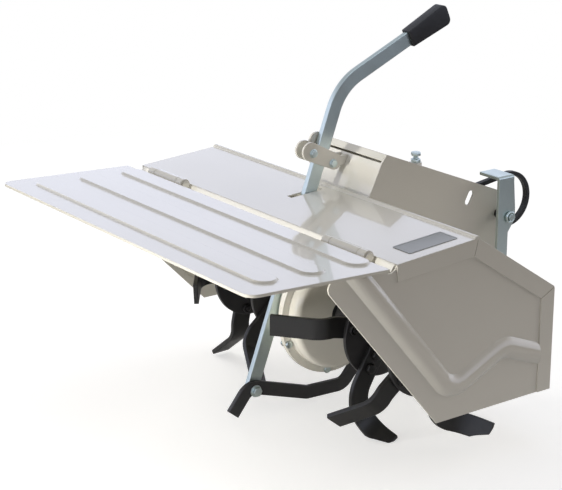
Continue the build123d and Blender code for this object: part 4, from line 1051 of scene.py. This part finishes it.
@dataclass
class PlainPlate:
    """Plain plate on the hood, with rounded corners and a raised border.

    Attributes:
        wardrobe: Finishes of the part.
        width: Length along X.
        length: Length along the hood's slope.
        thick: Thickness.
        middle: Middle along X and along the slope.
        slope: Rise and run of the hood's slope.
        corner: Radius of the corners.
        corner_steps: Steps round a corner.
        border: Width of the border.
        border_step: Width of the step inside the border.
        sink: Depth of the field inside the border.
        edge: Rounding of the edges.
    """

    wardrobe: Wardrobe
    width: float = 35.5
    length: float = 82.0
    thick: float = 0.8
    middle: Span = (264.5, -60.5)
    slope: Span = (9.7, 136.3)
    corner: float = 3.0
    corner_steps: int = 5
    border: float = 2.2
    border_step: float = 0.4
    sink: float = 0.35
    edge: float = 0.12

    def build(self) -> None:
        """Model the plate flat and lay it on the hood's slope."""
        size = (self.width * MM, self.length * MM, self.thick * MM)
        place = (self.middle[0] * MM, self.middle[1] * MM, self.thick * MM / 2)
        piece = Bench.block(size, place)
        Bench.pick_edges(piece, lambda one, two: abs(one.z - two.z) > 0.5 * self.thick * MM)
        bpy.ops.mesh.bevel(offset=self.corner * MM, segments=self.corner_steps, affect="EDGES")
        Bench.pick_faces(piece, lambda spot, normal: normal.z > SQUARE_ON)
        bpy.ops.mesh.inset(thickness=self.border * MM)
        bpy.ops.mesh.inset(thickness=self.border_step * MM)
        bpy.ops.transform.translate(value=(0.0, 0.0, -self.sink * MM))
        Bench.soften(piece, self.edge * MM)
        tilt = Matrix.Rotation(math.atan2(*self.slope), 4, "X")
        piece.data.transform(Matrix.Translation(HOOD_EDGE) @ tilt)
        piece.name = "plain_plate"
        self.wardrobe.put_on(piece, "name_plate", Slot.PLATE, Body.FRAME)
        LOG.info("plain plate modelled")


@dataclass
class LeverGrip:
    """Moulded grip on the lever's end: flared, with rounded corners and a rolled mouth.

    Attributes:
        wardrobe: Finishes of the part.
        lever_end: Middle of the lever's end.
        slope: Rise and run of the lever at its end.
        length: Length along the lever.
        cap: Part of the length past the lever's end.
        neck: Height at the mouth.
        flare: Height at the closed end.
        thick: Width along X.
        corner: Radius of the closed end's corners.
        corner_steps: Steps round such a corner.
        mouth: Wall of the mouth.
        mouth_depth: Depth of the mouth.
        edge: Rounding of the edges.
        edge_steps: Steps across that rounding.
        merge: Distance within which points are merged.
    """

    wardrobe: Wardrobe
    lever_end: Triple = (-13.5, 208.0, 226.3)
    slope: Span = (84.3, 190.0)
    length: float = 76.0
    cap: float = 3.0
    neck: float = 25.0
    flare: float = 32.4
    thick: float = 17.0
    corner: float = 8.5
    corner_steps: int = 5
    mouth: float = 1.6
    mouth_depth: float = 1.2
    edge: float = 2.2
    edge_steps: int = 4
    merge: float = 0.01

    def build(self) -> None:
        """Model the grip along Y and carry it to the lever."""
        middle = self.cap - self.length / 2
        piece = Bench.block(
            (self.thick * MM, self.length * MM, self.neck * MM), (0.0, middle * MM, 0.0))
        Bench.pick_faces(piece, lambda spot, normal: normal.y > SQUARE_ON)
        bpy.ops.transform.resize(value=(1.0, 1.0, self.flare / self.neck))
        Bench.pick_edges(
            piece, lambda one, two: min(one.y, two.y) > 0.0 and abs(one.x - two.x) > 0.5 * self.thick * MM)
        bpy.ops.mesh.bevel(offset=self.corner * MM, segments=self.corner_steps, affect="EDGES")
        Bench.pick_faces(piece, lambda spot, normal: normal.y < -SQUARE_ON)
        bpy.ops.mesh.inset(thickness=self.mouth * MM)
        bpy.ops.mesh.extrude_region_move(
            TRANSFORM_OT_translate={"value": (0.0, self.mouth_depth * MM, 0.0)})
        Bench.soften(piece, self.edge * MM, self.edge_steps)
        Bench.clean(piece, self.merge * MM)
        rise = Matrix.Rotation(math.atan2(*self.slope), 4, "X")
        piece.data.transform(Matrix.Translation(from_hood(*self.lever_end)) @ rise)
        piece.name = "moulded_grip"
        self.wardrobe.put_on(piece, "lever_grip", Slot.GRIP, Body.LEVER)
        LOG.info("grip modelled")


@dataclass(frozen=True)
class Lamp:
    """One soft square lamp, in metres and watts.

    Attributes:
        name: Name of the lamp.
        place: Where it hangs.
        aim: Point that it faces.
        size: Side of its square.
        power: Power.
        tint: Colour of its light.
        mirrored: Whether glossy surfaces show the lamp itself.
    """

    name: str
    place: Triple
    aim: Triple
    size: float
    power: float
    tint: Triple
    mirrored: bool = False

    def hang(self) -> None:
        """Add the lamp to the scene."""
        data = bpy.data.lights.new(self.name, "AREA")
        data.size = self.size
        data.color = self.tint
        data.energy = self.power
        lamp = bpy.data.objects.new(self.name, data)
        lamp.location = self.place
        lamp.visible_glossy = self.mirrored
        lamp.visible_camera = False
        lamp.rotation_euler = (Vector(self.aim) - Vector(self.place)).to_track_quat("-Z", "Y").to_euler()
        bpy.context.scene.collection.objects.link(lamp)


@dataclass
class Studio:
    """Floor, lamps, white surround and camera, in metres and degrees.

    Attributes:
        azimuth: Camera's turn about Z.
        elevation: Camera's angle above the floor.
        lens: Focal length of the camera, in millimetres.
        sensor: Width of its sensor, in millimetres.
        clip: Nearest and furthest distance that it shows.
        camera_place: Where it stands.
        floor_half: Half the floor's side.
        floor_tone: Grey of the floor near the object.
        floor_rough: Roughness of the floor.
        floor_fade: Distances at which the floor starts to fade and is white.
        floor_glow: Strength of the floor's white near the object.
        mirror_glow: Strength of the floor's white in reflections.
        ambient: Light of the surround on the object.
        mirror_low: Surround in reflections near the horizon.
        mirror_high: Surround in reflections overhead.
        mirror_rise: Heights between which reflections pass from low to high.
        lamps: Lamps round the object.
    """

    azimuth: float = 53.72
    elevation: float = 17.55
    lens: float = 108.1
    sensor: float = 36.0
    clip: Span = (0.05, 200.0)
    camera_place: Triple = (1.8201, -1.40996, 0.97056)
    floor_half: float = 12.0
    floor_tone: float = 0.66
    floor_rough: float = 0.9
    floor_fade: Span = (0.55, 1.7)
    floor_glow: float = 0.55
    mirror_glow: float = 0.05
    ambient: Triple = (0.345, 0.322, 0.314)
    mirror_low: Triple = (1.12, 1.18, 1.42)
    mirror_high: Triple = (0.42, 0.43, 0.45)
    mirror_rise: Span = (0.38, 0.62)
    lamps: tuple[Lamp, ...] = (
        Lamp("key panel", (-3.0, -0.3, 2.0), (0.0, -0.05, 0.25), 2.2, 50.0, (1.0, 0.985, 0.96)),
        Lamp("low panel", (-0.5, -3.1, 0.27), (0.0, -0.05, 0.25), 0.3, 63.0, (1.0, 0.985, 0.95)),
        Lamp("fill card", (0.3, -0.62, 0.1), (0.0, 0.0, 0.17), 0.18, 1.3, (1.0, 0.99, 0.95)),
        Lamp("sky panel", (-0.2, 0.1, 3.0), (0.0, 0.0, 0.2), 2.2, 11.0, (0.80, 0.95, 1.15), mirrored=True),
        Lamp("edge panel", (1.1, 3.1, 1.2), (0.1, 0.0, 0.2), 1.4, 24.0, (1.0, 0.97, 0.93)),
    )

    def build(self) -> None:
        """Set up everything round the object."""
        bpy.context.scene.view_settings.view_transform = "Standard"
        self._floor()
        self._surround()
        for lamp in self.lamps:
            lamp.hang()
        self._camera()

    def _floor(self) -> None:
        """Pale floor that keeps the object's shadow near it and passes into white further out."""
        Bench.clear()
        bpy.ops.mesh.primitive_plane_add(size=2 * self.floor_half)
        floor = bpy.context.object
        floor.name = "studio_floor"
        material = bpy.data.materials.new("studio floor")
        material.use_nodes = True
        nodes = Nodes(material.node_tree)
        shader = material.node_tree.nodes["Principled BSDF"]
        shader.inputs["Roughness"].default_value = self.floor_rough
        shader.inputs["Specular IOR Level"].default_value = 0.0
        reach = nodes.add("ShaderNodeVectorMath", operation="LENGTH")
        nodes.link(nodes.add("ShaderNodeTexCoord").outputs["Object"], reach.inputs[0])
        far = nodes.ramp(reach.outputs["Value"], self.floor_fade)
        nodes.link(nodes.mix(far, (self.floor_tone,) * 3, BLACK), shader.inputs["Base Color"])
        path = nodes.add("ShaderNodeLightPath").outputs
        white = nodes.ramp(far, UNIT, (self.floor_glow, 1.0))
        seen = nodes.reckon("MULTIPLY", path["Is Camera Ray"], white)
        glow = nodes.reckon("MULTIPLY_ADD", path["Is Glossy Ray"], self.mirror_glow, seen)
        nodes.link(glow, shader.inputs["Emission Strength"])
        shader.inputs["Emission Color"].default_value = (*WHITE, 1.0)
        floor.data.materials.append(material)

    def _surround(self) -> None:
        """White to the camera, pale in reflections and a plain pale light to everything else."""
        world = bpy.data.worlds.new("studio surround")
        world.use_nodes = True
        nodes = Nodes(world.node_tree)
        path = nodes.add("ShaderNodeLightPath").outputs
        split = nodes.add("ShaderNodeSeparateXYZ")
        nodes.link(nodes.add("ShaderNodeTexCoord").outputs["Generated"], split.inputs[0])
        height = nodes.ramp(split.outputs["Z"], self.mirror_rise)
        mirror = nodes.mix(height, self.mirror_low, self.mirror_high)
        lit = nodes.mix(path["Is Glossy Ray"], self.ambient, mirror)
        clear = nodes.reckon("MAXIMUM", path["Is Camera Ray"], path["Is Transmission Ray"])
        nodes.link(nodes.mix(clear, lit, WHITE), world.node_tree.nodes["Background"].inputs["Color"])
        bpy.context.scene.world = world

    def _camera(self) -> None:
        """Camera at the photograph's place and angle."""
        data = bpy.data.cameras.new("camera")
        data.lens = self.lens
        data.sensor_width = self.sensor
        data.clip_start, data.clip_end = self.clip
        camera = bpy.data.objects.new("camera", data)
        camera.location = self.camera_place
        camera.rotation_euler = (math.radians(90.0 - self.elevation), 0.0, math.radians(self.azimuth))
        bpy.context.scene.collection.objects.link(camera)
        bpy.context.scene.camera = camera


def main() -> None:
    """Dress the solids, add the pieces and set up the studio."""
    logging.basicConfig(level=logging.INFO, format="%(name)s: %(message)s")
    wardrobe = Wardrobe()
    wardrobe.dress_solids()
    LOG.info("solids dressed")
    RoundedSolids(wardrobe).build()
    Fasteners(wardrobe).build()
    PlainPlate(wardrobe).build()
    LeverGrip(wardrobe).build()
    Studio().build()
    LOG.info("studio ready")


if __name__ == "__main__":
    main()
